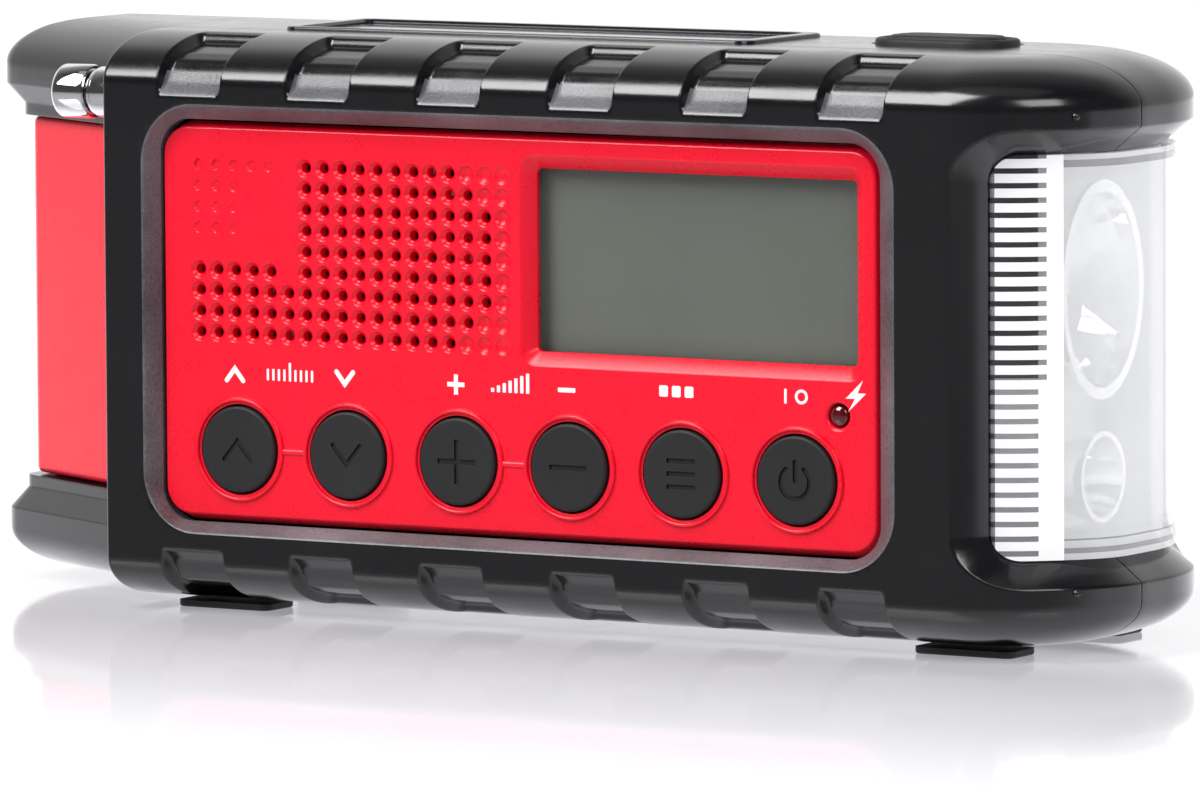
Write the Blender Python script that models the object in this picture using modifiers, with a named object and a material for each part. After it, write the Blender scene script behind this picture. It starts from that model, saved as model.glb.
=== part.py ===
"""Wind-up emergency radio, built as separate pieces at real size (metres, +Z up).

Layout coordinates used below, in millimetres:
  x  along the front, from the front frame's left edge to the right
  d  depth, from the flat front face of the frame backwards
  z  height above the bottom row of speaker holes
place() turns them into world metres: the origin is under the middle of the
body, on the surface it stands on, +X to the right and -Y towards the front.
"""

import math

import bmesh
import bpy
from mathutils import Matrix, Vector

# ---------------------------------------------------------------- dimensions
MM = 0.001
X_MID = 61.5            # layout x of the world origin
DEPTH = 58.0            # front face to rear face
FOOT_Z = -41.2          # underside of the feet
TOP_Z = 43.0            # top of the case
BOTTOM_Z = -39.9        # underside of the case
LIP_TOP = 36.1          # where the upper shoulder starts
LIP_BOTTOM = -33.3      # where the lower shoulder starts
SHOULDER_IN = 15.0      # how far the shoulders reach in at top and bottom
LEFT_X = -38.0          # end of the left block
RIGHT_X = 161.0         # end of the right block
SEAM_D = 20.0           # seam between front and rear shell
GAP = 0.3               # clearance between neighbouring pieces
WALL = 2.2

PANEL = (8.9, 129.0, -27.5, 30.6)      # x0, x1, z0, z1
PANEL_D = 2.8
PANEL_T = 2.2
PANEL_R = 4.6
FRAME_OPEN = (6.9, 132.2, -29.1, 33.0)  # outer edge of the chamfer round the panel
HOLE_PITCH = 3.05
HOLE_X0 = 14.8
HOLE_R = 0.85
LCD = (71.6, 125.2, -0.6, 25.6)        # opening in the panel
BUTTON_X0, BUTTON_DX, BUTTON_Z = 21.62, 18.72, -16.88
BUTTON_HOLE_R, BUTTON_R = 6.65, 6.3
BUTTON_TRAVEL = 0.8

ANT_D, ANT_Z = 10.0, 33.8              # antenna axis
CRANK_X, CRANK_Z = 100.0, 2.0          # crank axis
DISH_R = 31.5
DISH_D = 46.9                          # floor of the crank dish
IDLER_X, IDLER_Z = 74.0, 2.0
GEN_X, GEN_Z = 74.0, -20.0
MODULE = 1.0
DRIVE_T, PINION_T, IDLER_T = 40, 12, 32
GRIP_PIVOT_X = CRANK_X - 25.0
GRIP_D = 54.1

# ------------------------------------------------------------ scene and tools
for old in list(bpy.data.objects):
    bpy.data.objects.remove(old, do_unlink=True)

PARTS = bpy.data.collections.new("wind_up_radio")
CUTTERS = bpy.data.collections.new("cutters")
for coll in (PARTS, CUTTERS):
    bpy.context.scene.collection.children.link(coll)

MATERIALS = {}


def material(name, colour, rough, metal=0.0, alpha=1.0):
    mat = bpy.data.materials.new(name)
    mat.use_nodes = True
    shader = mat.node_tree.nodes["Principled BSDF"]
    shader.inputs["Base Color"].default_value = (*colour, 1.0)
    shader.inputs["Roughness"].default_value = rough
    shader.inputs["Metallic"].default_value = metal
    shader.inputs["Alpha"].default_value = alpha
    MATERIALS[name] = mat
    return mat


material("black_abs", (0.012, 0.012, 0.014), 0.42)
material("red_abs", (0.80, 0.004, 0.022), 0.30)
material("black_rubber", (0.014, 0.014, 0.016), 0.62)
material("clear_pc", (0.86, 0.88, 0.90), 0.08, alpha=0.35)
material("lcd_glass", (0.16, 0.19, 0.15), 0.12)
material("chrome", (0.80, 0.80, 0.82), 0.12, 1.0)
material("steel", (0.55, 0.55, 0.57), 0.35, 1.0)
material("pcb", (0.015, 0.11, 0.04), 0.50)
material("white_pom", (0.78, 0.77, 0.73), 0.45)
material("brass", (0.60, 0.42, 0.14), 0.30, 1.0)
material("paper_cone", (0.03, 0.03, 0.03), 0.80)
material("magnet", (0.09, 0.09, 0.10), 0.55)
material("solar_cell", (0.010, 0.014, 0.05), 0.18)
material("battery_wrap", (0.05, 0.16, 0.36), 0.40)
material("led_white", (0.90, 0.86, 0.55), 0.25)
material("led_red", (0.45, 0.01, 0.01), 0.20)


def place(x, d, z):
    return Vector(((x - X_MID) * MM, (d - DEPTH / 2) * MM, (z - FOOT_Z) * MM))


def finish(name, bm, mat, cutter=False, origin=(X_MID, DEPTH / 2, FOOT_Z), smooth=30.0):
    """Object from a bmesh in world metres; its origin is put at a layout point."""
    at = place(*origin)
    bmesh.ops.translate(bm, verts=bm.verts, vec=-at)
    bmesh.ops.recalc_face_normals(bm, faces=bm.faces)
    mesh = bpy.data.meshes.new(name)
    bm.to_mesh(mesh)
    bm.free()
    mesh.shade_smooth()
    mesh.set_sharp_from_angle(angle=math.radians(smooth))
    obj = bpy.data.objects.new(name, mesh)
    obj.location = at
    if cutter:
        obj.hide_render = True
        obj.display_type = "WIRE"
        CUTTERS.objects.link(obj)
    else:
        mesh.materials.append(MATERIALS[mat])
        PARTS.objects.link(obj)
    return obj


def box_bm(x0, x1, d0, d1, z0, z1, taper=None):
    """A box; taper=(dx, dz) shrinks its deep end by that much on each side."""
    bm = bmesh.new()
    bmesh.ops.create_cube(bm, size=1.0)
    low, high = place(x0, d0, z0), place(x1, d1, z1)
    for v in bm.verts:
        deep = v.co.y > 0
        for i in range(3):
            v.co[i] = low[i] + (v.co[i] + 0.5) * (high[i] - low[i])
        if taper and deep:
            mid = (low + high) / 2
            v.co.x += taper[0] * MM * (1 if v.co.x < mid.x else -1)
            v.co.z += taper[1] * MM * (1 if v.co.z < mid.z else -1)
    return bm


def box(name, x0, x1, d0, d1, z0, z1, mat=None, bevel=0.0, **kw):
    obj = finish(name, box_bm(x0, x1, d0, d1, z0, z1, kw.pop("taper", None)), mat, mat is None, **kw)
    if bevel:
        mod = obj.modifiers.new("edges", "BEVEL")
        mod.width = bevel * MM
        mod.segments = 2
    return obj


def cone_bm(centre, axis, r1, r2, length, sides, turn=0.0):
    """A cylinder or cone along X, Y or Z, centred on a layout point."""
    bm = bmesh.new()
    bmesh.ops.create_cone(bm, cap_ends=True, segments=sides, radius1=r1 * MM,
                          radius2=r2 * MM, depth=length * MM)
    turned = {"X": Matrix.Rotation(math.pi / 2, 4, "Y"),
              "Y": Matrix.Rotation(-math.pi / 2, 4, "X"),
              "Z": Matrix.Identity(4)}[axis]
    spin = Matrix.Rotation(turn, 4, "Z")
    bmesh.ops.transform(bm, matrix=Matrix.Translation(place(*centre)) @ turned @ spin, verts=bm.verts)
    return bm


def rod(name, centre, axis, r, length, sides=24, mat=None, r2=None, turn=0.0, **kw):
    return finish(name, cone_bm(centre, axis, r, r if r2 is None else r2, length, sides, turn),
                  mat, mat is None, **kw)


def turned(name, centre, axis, profile, steps=28, mat=None, **kw):
    """A turned solid: profile is (radius, distance along the axis) from the axis,
    out and back to the axis; made with a Screw and then kept as a mesh."""
    if profile[0][1] < profile[-1][1]:
        profile = profile[::-1]
    mesh = bpy.data.meshes.new(name + "_profile")
    mesh.from_pydata([(r * MM, 0.0, t * MM) for r, t in profile],
                     [(i, i + 1) for i in range(len(profile) - 1)], [])
    tmp = bpy.data.objects.new(name + "_profile", mesh)
    CUTTERS.objects.link(tmp)
    mod = tmp.modifiers.new("turn", "SCREW")
    mod.axis = "Z"
    mod.steps = mod.render_steps = steps
    mod.use_merge_vertices = True
    mod.merge_threshold = 1e-6
    bpy.context.view_layer.update()
    solid = bpy.data.meshes.new_from_object(tmp.evaluated_get(bpy.context.evaluated_depsgraph_get()))
    bpy.data.objects.remove(tmp, do_unlink=True)
    bm = bmesh.new()
    bm.from_mesh(solid)
    bmesh.ops.remove_doubles(bm, verts=bm.verts, dist=2e-6)
    spin = {"X": Matrix.Rotation(math.pi / 2, 4, "Y"), "Y": Matrix.Rotation(-math.pi / 2, 4, "X"),
            "-Y": Matrix.Rotation(math.pi / 2, 4, "X"), "Z": Matrix.Identity(4),
            "-X": Matrix.Rotation(-math.pi / 2, 4, "Y")}[axis]
    bmesh.ops.transform(bm, matrix=Matrix.Translation(place(*centre)) @ spin, verts=bm.verts)
    return finish(name, bm, mat, mat is None, **kw)


def rrect(x0, x1, z0, z1, r, n=5):
    """Rounded rectangle as a counter-clockwise loop."""
    pts = []
    for cx, cz, start in ((x1 - r, z1 - r, 0), (x0 + r, z1 - r, 90), (x0 + r, z0 + r, 180), (x1 - r, z0 + r, 270)):
        for k in range(n + 1):
            a = math.radians(start + 90 * k / n)
            pts.append((cx + r * math.cos(a), cz + r * math.sin(a)))
    return pts


def circle(cx, cz, r, n=24, turn=0.0):
    return [(cx + r * math.cos(turn + 2 * math.pi * k / n), cz + r * math.sin(turn + 2 * math.pi * k / n)) for k in range(n)]


def gear(cx, cz, teeth, phase):
    """Involute spur gear outline, 20 degree pressure angle, short addendum, with backlash."""
    rp = MODULE * teeth / 2
    rb = rp * math.cos(math.radians(20))
    inv20 = math.tan(math.radians(20)) - math.radians(20)
    half = math.pi / (2 * teeth) - 0.22 / (2 * rp)
    tip, root = rp + 0.8 * MODULE, rp - 1.2 * MODULE

    def width(r):
        if r <= rb:
            return half + inv20
        a = math.acos(rb / r)
        return half + inv20 - (math.tan(a) - a)

    radii = [root, tip]
    pts = []
    for k in range(teeth):
        t = phase + 2 * math.pi * k / teeth
        pts += [(cx + r * math.cos(t - width(r)), cz + r * math.sin(t - width(r))) for r in radii]
        pts += [(cx + r * math.cos(t + width(r)), cz + r * math.sin(t + width(r))) for r in reversed(radii)]
    return pts


def plate(name, loops, lo, hi, mat=None, normal="Y", **kw):
    """A flat outline with holes, from lo to hi along Y (depth), Z or X: a 2D curve,
    filled, extruded by half its thickness and then made a mesh."""
    curve = bpy.data.curves.new(name + "_outline", "CURVE")
    curve.dimensions = "2D"
    curve.fill_mode = "BOTH"
    curve.extrude = (hi - lo) / 2 * MM
    for loop in loops:
        spline = curve.splines.new("POLY")
        spline.points.add(len(loop) - 1)
        for p, (a, b) in zip(spline.points, loop):
            p.co = (a * MM, b * MM, 0.0, 1.0)
        spline.use_cyclic_u = True
    tmp = bpy.data.objects.new(name + "_outline", curve)
    CUTTERS.objects.link(tmp)
    bpy.context.view_layer.update()
    solid = bpy.data.meshes.new_from_object(tmp.evaluated_get(bpy.context.evaluated_depsgraph_get()))
    bpy.data.objects.remove(tmp, do_unlink=True)
    bm = bmesh.new()
    bm.from_mesh(solid)
    bmesh.ops.remove_doubles(bm, verts=bm.verts, dist=2e-6)
    zero = place(0, 0, 0)
    mid = (lo + hi) / 2 * MM
    if normal == "Y":      # outline in x, z
        turn = Matrix(((1, 0, 0, zero.x), (0, 0, -1, zero.y + mid), (0, 1, 0, zero.z), (0, 0, 0, 1)))
    elif normal == "Z":    # outline in x, d
        turn = Matrix(((1, 0, 0, zero.x), (0, 1, 0, zero.y), (0, 0, 1, zero.z + mid), (0, 0, 0, 1)))
    else:                  # outline in d, z
        turn = Matrix(((0, 0, 1, zero.x + mid), (1, 0, 0, zero.y), (0, 1, 0, zero.z), (0, 0, 0, 1)))
    bmesh.ops.transform(bm, matrix=turn, verts=bm.verts)
    return finish(name, bm, mat, mat is None, **kw)


def combine(target, *others, op="DIFFERENCE"):
    for other in others:
        mod = target.modifiers.new(other.name, "BOOLEAN")
        mod.operation = op
        mod.solver = "EXACT"
        mod.object = other
    return target


def join(target, *others):
    return combine(target, *others, op="UNION")


# ------------------------------------------------------------- case outlines
def offset_outline(corners, inset):
    """A convex outline of (x, d, radius, steps) corners, moved inwards by inset,
    with each corner rounded. The number of points doesn't depend on inset."""
    n = len(corners)
    pts = []
    for i in range(n):
        px, pd = corners[i - 1][:2]
        cx, cd, r, steps = corners[i]
        nx, nd = corners[(i + 1) % n][:2]
        u = Vector((cx - px, cd - pd)).normalized()
        v = Vector((nx - cx, nd - cd)).normalized()
        un, vn = Vector((-u.y, u.x)), Vector((-v.y, v.x))      # inward for a counter-clockwise outline
        turn = math.acos(max(-1.0, min(1.0, u.dot(v))))
        corner = Vector((cx, cd)) + (un + vn) / (1 + un.dot(vn)) * inset
        rr = max(r - inset, 0.5)
        start = corner - u * rr * math.tan(turn / 2)
        centre = start + un * rr
        first = math.atan2(start.y - centre.y, start.x - centre.x)
        for k in range(steps + 1):
            a = first + turn * k / steps
            pts.append((centre.x + rr * math.cos(a), centre.y + rr * math.sin(a)))
    return pts


# counter-clockwise in (x, d): front left, front right, rear right, rear left, left block
WHOLE = [(17.0, 0.0, 6.0, 3), (RIGHT_X, 0.0, 22.0, 10), (RIGHT_X, DEPTH, 30.0, 10),
         (LEFT_X, DEPTH, 11.0, 5), (LEFT_X, 29.1, 7.0, 4)]
FRONT = [(-30.0, 0.0, 1.0, 1), (RIGHT_X, 0.0, 22.0, 10), (RIGHT_X, DEPTH, 14.0, 3), (-30.0, DEPTH, 1.0, 1)]


def shoulders(lip_lo, lip_hi, bottom, top, reach, steps=5, start=0.0):
    """(z, inset) levels: lower shoulder, upright wall, upper shoulder."""
    levels = []
    for k in range(steps, 0, -1):
        a = math.radians(90.0 * k / steps)
        levels.append((lip_lo - (lip_lo - bottom) * math.sin(a), start + reach * (1 - math.cos(a))))
    levels += [(lip_lo, start), (lip_hi, start)]
    for k in range(1, steps + 1):
        a = math.radians(90.0 * k / steps)
        levels.append((lip_hi + (top - lip_hi) * math.sin(a), start + reach * (1 - math.cos(a))))
    return levels


def loft_bm(corners, levels):
    bm = bmesh.new()
    rings = []
    for z, inset in levels:
        rings.append([bm.verts.new(place(x, d, z)) for x, d in offset_outline(corners, inset)])
    for a, b in zip(rings, rings[1:]):
        for k in range(len(a)):
            j = (k + 1) % len(a)
            bm.faces.new((a[k], a[j], b[j], b[k]))
    bm.faces.new(rings[0][::-1])
    bm.faces.new(rings[-1])
    return bm


def loft(name, corners, levels, mat=None):
    return finish(name, loft_bm(corners, levels), mat, mat is None)


OUTER = shoulders(LIP_BOTTOM, LIP_TOP, BOTTOM_Z, TOP_Z, SHOULDER_IN)

# ---------------------------------------------------------------- front shell
front = loft("front_shell", FRONT, OUTER, "black_abs")
far_side = box("front_rear_cut", -60, 200, SEAM_D, 90, -60, 60)
left_side = box("front_left_cut", -60, 0, -20, 90, -60, 60)

# hollow of the main case, open to the rear; its front wall is thick enough for the panel's chamfer
MAIN = [(WALL, 5.0, 3.0, 2), (135.0, 5.0, 3.0, 2), (135.0, 50.0, 1.0, 1), (WALL, 50.0, 1.0, 1)]
front_hollow = loft("front_hollow", MAIN, shoulders(-30.9, 33.7, -37.7, 40.8, 12.5, 4))
# tunnel behind the panel chamfer and through the front


def frustum(name, outer, inner, d0, d1, r_outer, r_inner, n=5):
    """A ring-shaped chamfer cutter between two rounded rectangles."""
    bm = bmesh.new()
    a = [bm.verts.new(place(x, d0, z)) for x, z in rrect(*outer, r_outer, n)]
    b = [bm.verts.new(place(x, d1, z)) for x, z in rrect(*inner, r_inner, n)]
    for k in range(len(a)):
        j = (k + 1) % len(a)
        bm.faces.new((a[k], a[j], b[j], b[k]))
    bm.faces.new(a[::-1])
    bm.faces.new(b)
    return finish(name, bm, None, True)


def grow(rect, g):
    return rect[0] - g, rect[1] + g, rect[2] - g, rect[3] + g


outer_open = grow(FRAME_OPEN, 0.2)
panel_hole = grow(PANEL, 0.45)
chamfer = frustum("panel_chamfer_cut", outer_open, panel_hole, -0.36, 2.5, 8.4, 5.0)
panel_cut = plate("panel_hole_cut", [rrect(*panel_hole, 5.0)], -1.0, 9.0)

# tread notches over the upper and lower front edges
NOTCH_W, NOTCH_PITCH, NOTCH_X = 11.2, 22.1, 9.4
tread = []
for k in range(6):
    x0 = NOTCH_X + k * NOTCH_PITCH
    top = [(-1.0, 33.4), (0.0, 34.7), (1.8, 37.1), (3.6, 38.9), (6.2, 40.1), (9.2, 41.0), (12.0, 41.5), (12.6, 44.5), (-1.0, 44.5)]
    low = [(a, 2.9 - b) for a, b in top][::-1]
    tread.append(plate("notch_top_%d" % k, [top], x0, x0 + NOTCH_W, normal="X"))
    tread.append(plate("notch_low_%d" % k, [low], x0, x0 + NOTCH_W, normal="X"))

# lamp opening, cut with sloping sides into the front and rear shells
LENS_IN, LENS_T = 4.6, 2.2
LAMP_LO, LAMP_HI = -27.1, 29.9


def ring_loft(name, corners, sections, mat=None):
    """Closed band that follows the outline: sections are (inset, z) going round its cross-section."""
    bm = bmesh.new()
    rings = [[bm.verts.new(place(x, d, z)) for x, d in offset_outline(corners, inset)] for inset, z in sections]
    m = len(rings)
    for i in range(m):
        a, b = rings[i], rings[(i + 1) % m]
        for k in range(len(a)):
            j = (k + 1) % len(a)
            bm.faces.new((a[k], a[j], b[j], b[k]))
    return finish(name, bm, mat, mat is None)


# band cross-section: outside the case at the lips, sloping in to the lens
lamp_band = ring_loft("lamp_band_cut", WHOLE,
                      [(-3.0, LAMP_LO - 3.4), (0.0, LAMP_LO - 3.4), (LENS_IN - GAP, LAMP_LO), (LENS_IN - GAP, LAMP_LO - 1.2),
                       (LENS_IN + LENS_T + GAP, LAMP_LO - 1.2), (LENS_IN + LENS_T + GAP, LAMP_HI + 1.2),
                       (LENS_IN - GAP, LAMP_HI + 1.2), (LENS_IN - GAP, LAMP_HI), (0.0, LAMP_HI + 3.4), (-3.0, LAMP_HI + 3.4)])
# the band is cut away only past this sloping end plane
lamp_reach = plate("lamp_reach", [[(141.2, -4.0), (180.0, -4.0), (180.0, 62.0), (146.6, 62.0), (146.6, DEPTH), (150.1, DEPTH - 4.3), (149.0, 30.0),
                                   (145.2, 12.0), (145.2, 4.0), (141.6, 0.0)]], -60, 60, normal="Z")
combine(lamp_band, lamp_reach, op="INTERSECT")

# room behind the lens
lamp_bay = loft("lamp_bay_cut", WHOLE, [(-37.0, 6.6), (40.0, 6.6)])
bay_side = box("lamp_bay_reach", 137.2, 190, -10, 90, -60, 60)
combine(lamp_bay, bay_side, op="INTERSECT")

ant_hole = rod("antenna_hole", (0, ANT_D, ANT_Z), "X", 3.85, 12, 20)
combine(front, far_side, left_side, front_hollow, chamfer, panel_cut, *tread, lamp_band, lamp_bay, ant_hole)
# a bulkhead with an opening carries the lamp
bay_door = box("bay_door_cut", 134, 138, 12, 90, -24, 27)
combine(front, bay_door)

# ----------------------------------------------------------------- rear shell
rear = loft("rear_shell", WHOLE, OUTER, "black_abs")
front_room = box("rear_front_cut", -GAP, 200, -20, SEAM_D + GAP, -60, 60)
REAR_ROOM = [(1.0, 2.2, 3.0, 2), (135.0, 2.2, 3.0, 2), (135.0, DEPTH - WALL, 3.0, 2), (1.0, DEPTH - WALL, 3.0, 2)]
rear_hollow = loft("rear_hollow", REAR_ROOM, shoulders(-31.1, 33.9, -37.7, 40.8, 12.5, 4))
left_room = loft("left_room", WHOLE, [(-36.6, 8.4), (39.4, 8.4)])
left_room_reach = box("left_room_reach", -60, -2.0, -20, 90, -60, 60)
combine(left_room, left_room_reach, op="INTERSECT")
left_door = box("left_door_cut", -3.0, 2.0, 24.0, 52.0, -33.0, 35.0)

# red end panel: a band let into the left block between two dark collars
RED_IN, RED_T = 4.1, 2.4
RED_LO, RED_HI = -25.5, 28.3
red_band = ring_loft("red_band_cut", WHOLE,
                     [(-3.0, RED_LO - 4.6), (0.0, RED_LO - 4.6), (2.7, RED_LO - 1.9), (2.7, RED_LO), (RED_IN - 0.1, RED_LO),
                      (RED_IN - 0.1, RED_LO - 1.2), (RED_IN + RED_T + GAP, RED_LO - 1.2), (RED_IN + RED_T + GAP, RED_HI + 1.2),
                      (RED_IN - 0.1, RED_HI + 1.2), (RED_IN - 0.1, RED_HI), (2.7, RED_HI), (2.7, RED_HI + 1.9), (0.0, RED_HI + 4.9), (-3.0, RED_HI + 4.9)])
red_reach = plate("red_reach", [[(1.0, -4), (1.0, 20.1), (-0.2, 20.1), (-0.2, 24.5), (-26.0, 52.5), (-26.0, 53.5), (-23.0, 58.0), (-23.0, 66), (-60, 66), (-60, -4)]],
                  -60, 60, normal="Z")
combine(red_band, red_reach, op="INTERSECT")
ant_scallop = rod("antenna_scallop", (-10, ANT_D, ANT_Z), "X", 4.9, 24, 24)

# crank dish in the rear face, its floor and rim standing inside the case
dish_boss = rod("dish_boss", (CRANK_X, (DISH_D - 1.8 + DEPTH - 0.6) / 2, CRANK_Z), "Y", DISH_R + 2.0, DEPTH - 0.6 - (DISH_D - 1.8), 36)
dish_cut = rod("dish_cut", (CRANK_X, (DISH_D + 66) / 2, CRANK_Z), "Y", DISH_R, 66 - DISH_D, 36)
shaft_hole = rod("shaft_hole", (CRANK_X, 46, CRANK_Z), "Y", 3.35, 12, 24)

# battery bay, open to the rear, with a step for the door
BAT = (-18.0, 52.0, -13.0, 11.0)        # opening x0, x1, z0, z1
bat_box = box("battery_walls", BAT[0] - 2, BAT[1] + 2, 32.0, DEPTH - 1.0, BAT[2] - 2, BAT[3] + 2)
bat_cut = box("battery_cut", BAT[0], BAT[1], 34.0, 66, BAT[2], BAT[3])
DOOR = (BAT[0] - 2.6, BAT[1] + 2.6, BAT[2] - 3.4, BAT[3] + 2.6)
door_step = plate("door_step_cut", [rrect(*DOOR, 0.7, 2)], DEPTH - 3.1, DEPTH + 4)
door_pad = plate("door_backing", [rrect(*grow(DOOR, 2.0), 2.4, 3)], DEPTH - 5.2, DEPTH - 1.5)

# port recess
PORT = (58.2, 65.6, -14.5, 15.5)
port_step = plate("port_step_cut", [rrect(*grow(PORT, 1.4), 2.0, 3)], DEPTH - 1.9, DEPTH + 4)
port_cut = plate("port_cut", [rrect(*PORT, 1.0, 2)], DEPTH - 8, DEPTH + 4)

# top: solar panel recess and lamp switch well
SOLAR = (20.0, 94.0, 17.0, 41.0)        # x0, x1, d0, d1
solar_lift = plate("solar_rim", [rrect(SOLAR[0] - 2.6, SOLAR[1] + 2.6, 21.0, SOLAR[3] + 2.6, 2.5, 4)], 40.2, TOP_Z + 0.5, normal="Z")
solar_cut = plate("solar_cut", [rrect(SOLAR[0], SOLAR[1], 22.6, SOLAR[3], 1.2, 3)], TOP_Z - 1.9, TOP_Z + 4, normal="Z")
solar_wire = rod("solar_wire_hole", (24, 30, 41), "Z", 1.5, 8, 12)
SWITCH = (110.5, 132.5, 28.5, 41.5)
switch_cut = plate("switch_cut", [rrect(*SWITCH, 5.9, 6)], TOP_Z - 6, TOP_Z + 4, normal="Z")

SCREW_XZ = [(58.0, 27.0), (58.0, -24.0), (130.6, 27.3), (130.6, -23.8)]
screw_holes = []
screw_posts = []
for k, (x, z) in enumerate(SCREW_XZ):
    screw_posts.append(rod("screw_post_%d" % k, (x, 39.5, z), "Y", 4.1, 36.5, 12))
    screw_holes.append(rod("screw_bore_%d" % k, (x, 40, z), "Y", 1.6, 60, 10))
    screw_holes.append(rod("screw_sink_%d" % k, (x, 62, z), "Y", 3.1, 14, 14))

combine(rear, front_room, rear_hollow, left_room, left_door)
join(rear, dish_boss, bat_box, door_pad, solar_lift, *screw_posts)
combine(rear, dish_cut, shaft_hole, bat_cut, door_step, port_step, port_cut, solar_cut, solar_wire, switch_cut,
        red_band, ant_scallop, lamp_band, lamp_bay, *screw_holes)

# ------------------------------------------------------------ left end panel
end_panel = ring_loft("left_end_panel", WHOLE, [(RED_IN, RED_LO - 0.9), (RED_IN, RED_HI + 0.9), (RED_IN + RED_T, RED_HI + 0.9),
                                                (RED_IN + RED_T, RED_LO - 0.9)], "red_abs")
end_panel_reach = plate("left_end_panel_reach", [[(-0.7, -4.0), (-0.7, 24.0), (-20.0, 40.0), (-26.3, 49.0), (-26.3, 66.0), (-60.0, 66.0), (-60.0, -4.0)]],
                        -60, 60, normal="Z")
combine(end_panel, end_panel_reach, op="INTERSECT")

# --------------------------------------------------------------- front panel
loops = [rrect(*PANEL, PANEL_R, 5), rrect(*LCD, 0.8, 2)[::-1]]
for row in range(9):
    for col in range(18):
        if row > 3 and col < 6:
            continue
        if row == 3 and col == 5:
            continue
        if col >= {0: 15, 1: 16, 7: 16, 8: 15}.get(row, 17):
            continue        # the last ones fade out and don't go through
        loops.append(circle(HOLE_X0 + col * HOLE_PITCH, row * HOLE_PITCH, HOLE_R, 4, math.pi / 4)[::-1])
for k in range(6):
    loops.append(circle(BUTTON_X0 + k * BUTTON_DX, BUTTON_Z, BUTTON_HOLE_R, 20, math.pi / 20)[::-1])
LED_X, LED_Z = 121.9, -7.5
loops.append(circle(LED_X, LED_Z, 1.6, 10)[::-1])
plate("front_panel", loops, PANEL_D, PANEL_D + PANEL_T, "red_abs")

# ------------------------------------------------------------------- buttons
BUTTONS = ["tune_up_button", "tune_down_button", "volume_up_button", "volume_down_button", "menu_button", "power_button"]
for k, name in enumerate(BUTTONS):
    bx = BUTTON_X0 + k * BUTTON_DX
    turned(name, (bx, 0, BUTTON_Z), "Y",
           [(0, 8.2), (2.2, 8.2), (2.2, 6.3), (7.3, 6.3), (7.3, 5.3), (BUTTON_R, 5.3), (BUTTON_R, 2.6), (BUTTON_R - 0.4, 2.2), (0, 2.2)],
           18, "black_rubber", origin=(bx, 5, BUTTON_Z))

board = plate("button_board", [rrect(11.5, 126.5, -25.5, -8.6, 1.5, 2)], 10.6, 12.0, "pcb")
join(board, *[box("switch_%d" % k, BUTTON_X0 + k * BUTTON_DX - 2.6, BUTTON_X0 + k * BUTTON_DX + 2.6, 9.3, 10.9, BUTTON_Z - 2.6, BUTTON_Z + 2.6)
              for k in range(6)])

turned("charge_led", (LED_X, 0, LED_Z), "Y", [(0, 7.4), (1.25, 7.4), (1.25, 3.2), (0.8, 2.55), (0, 2.4)], 12, "led_red")

# ------------------------------------------------------------------- display
window = plate("lcd_window", [rrect(LCD[0] - 1.6, LCD[1] + 1.6, LCD[2] - 1.6, LCD[3] + 1.6, 0.8, 2)], 5.3, 6.2, "lcd_glass")
raised = plate("window_step", [rrect(LCD[0] + 0.3, LCD[1] - 0.3, LCD[2] + 0.3, LCD[3] - 0.3, 0.6, 2)], 4.4, 5.8)
join(window, raised)
box("lcd_module", 69.0, 127.6, 6.6, 9.6, -3.4, 27.6, "lcd_glass", bevel=0.3)

# ------------------------------------------------------------------- speaker
SPK_X, SPK_Z = 41.5, 11.2
turned("speaker_frame", (SPK_X, 0, SPK_Z), "Y",
       [(9.6, 15.6), (10.8, 15.6), (16.0, 8.2), (18.0, 8.2), (18.0, 6.6), (16.2, 6.6), (15.0, 7.4), (9.6, 14.6), (9.6, 15.6)], 24, "steel")
turned("speaker_cone", (SPK_X, 0, SPK_Z), "Y",
       [(0, 12.6), (6.0, 13.6), (15.3, 6.5), (15.3, 5.9), (14.2, 5.9), (5.0, 11.6), (0, 10.4)], 24, "paper_cone")
turned("speaker_magnet", (SPK_X, 0, SPK_Z), "Y", [(0, 20.6), (11.0, 20.6), (11.0, 15.9), (0, 15.9)], 24, "magnet")

# ---------------------------------------------------------------- main board
main = plate("main_board", [rrect(9.0, 53.6, -33.0, 28.0, 1.5, 2)], 22.6, 24.2, "pcb")
chips = [box("chip_0", 20, 31, 24.0, 26.0, -24, -13), box("chip_1", 38, 46, 24.0, 25.6, -28, -21), box("chip_2", 16, 24, 24.0, 29.0, 15, 21)]
join(main, *chips)

# ------------------------------------------------------------------ antenna
TUBE_R = [(3.55, 3.05), (2.75, 2.35), (2.05, 1.65)]


def tube(name, x0, x1, r_out, r_in, mat, origin_x):
    return plate(name, [circle(ANT_D, ANT_Z, r_out, 18), circle(ANT_D, ANT_Z, r_in, 18)[::-1]], x0, x1, mat,
                 normal="X", origin=(origin_x, ANT_D, ANT_Z))


ANT_END = 127.0
tube("antenna_sleeve", -7.3, ANT_END, *TUBE_R[0], "chrome", 0)
tube("antenna_section_1", -7.3, ANT_END - 1, *TUBE_R[1], "chrome", 0)
tube("antenna_section_2", -7.3, ANT_END - 2, *TUBE_R[2], "chrome", 0)
turned("antenna_tip_rod", (0, ANT_D, ANT_Z), "X",
             [(0, ANT_END - 3), (1.35, ANT_END - 3), (1.35, -7.6), (3.6, -7.6), (4.0, -8.1), (4.0, -12.4), (3.7, -13.0), (3.0, -13.3), (0, -13.4)],
             18, "chrome", origin=(0, ANT_D, ANT_Z))
holder = box("antenna_clip", 30.0, 36.0, 8.6, 15.2, 28.4, 34.4, "black_abs")
combine(holder, rod("antenna_clip_bore", (33, ANT_D, ANT_Z), "X", 3.9, 20, 20))

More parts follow.
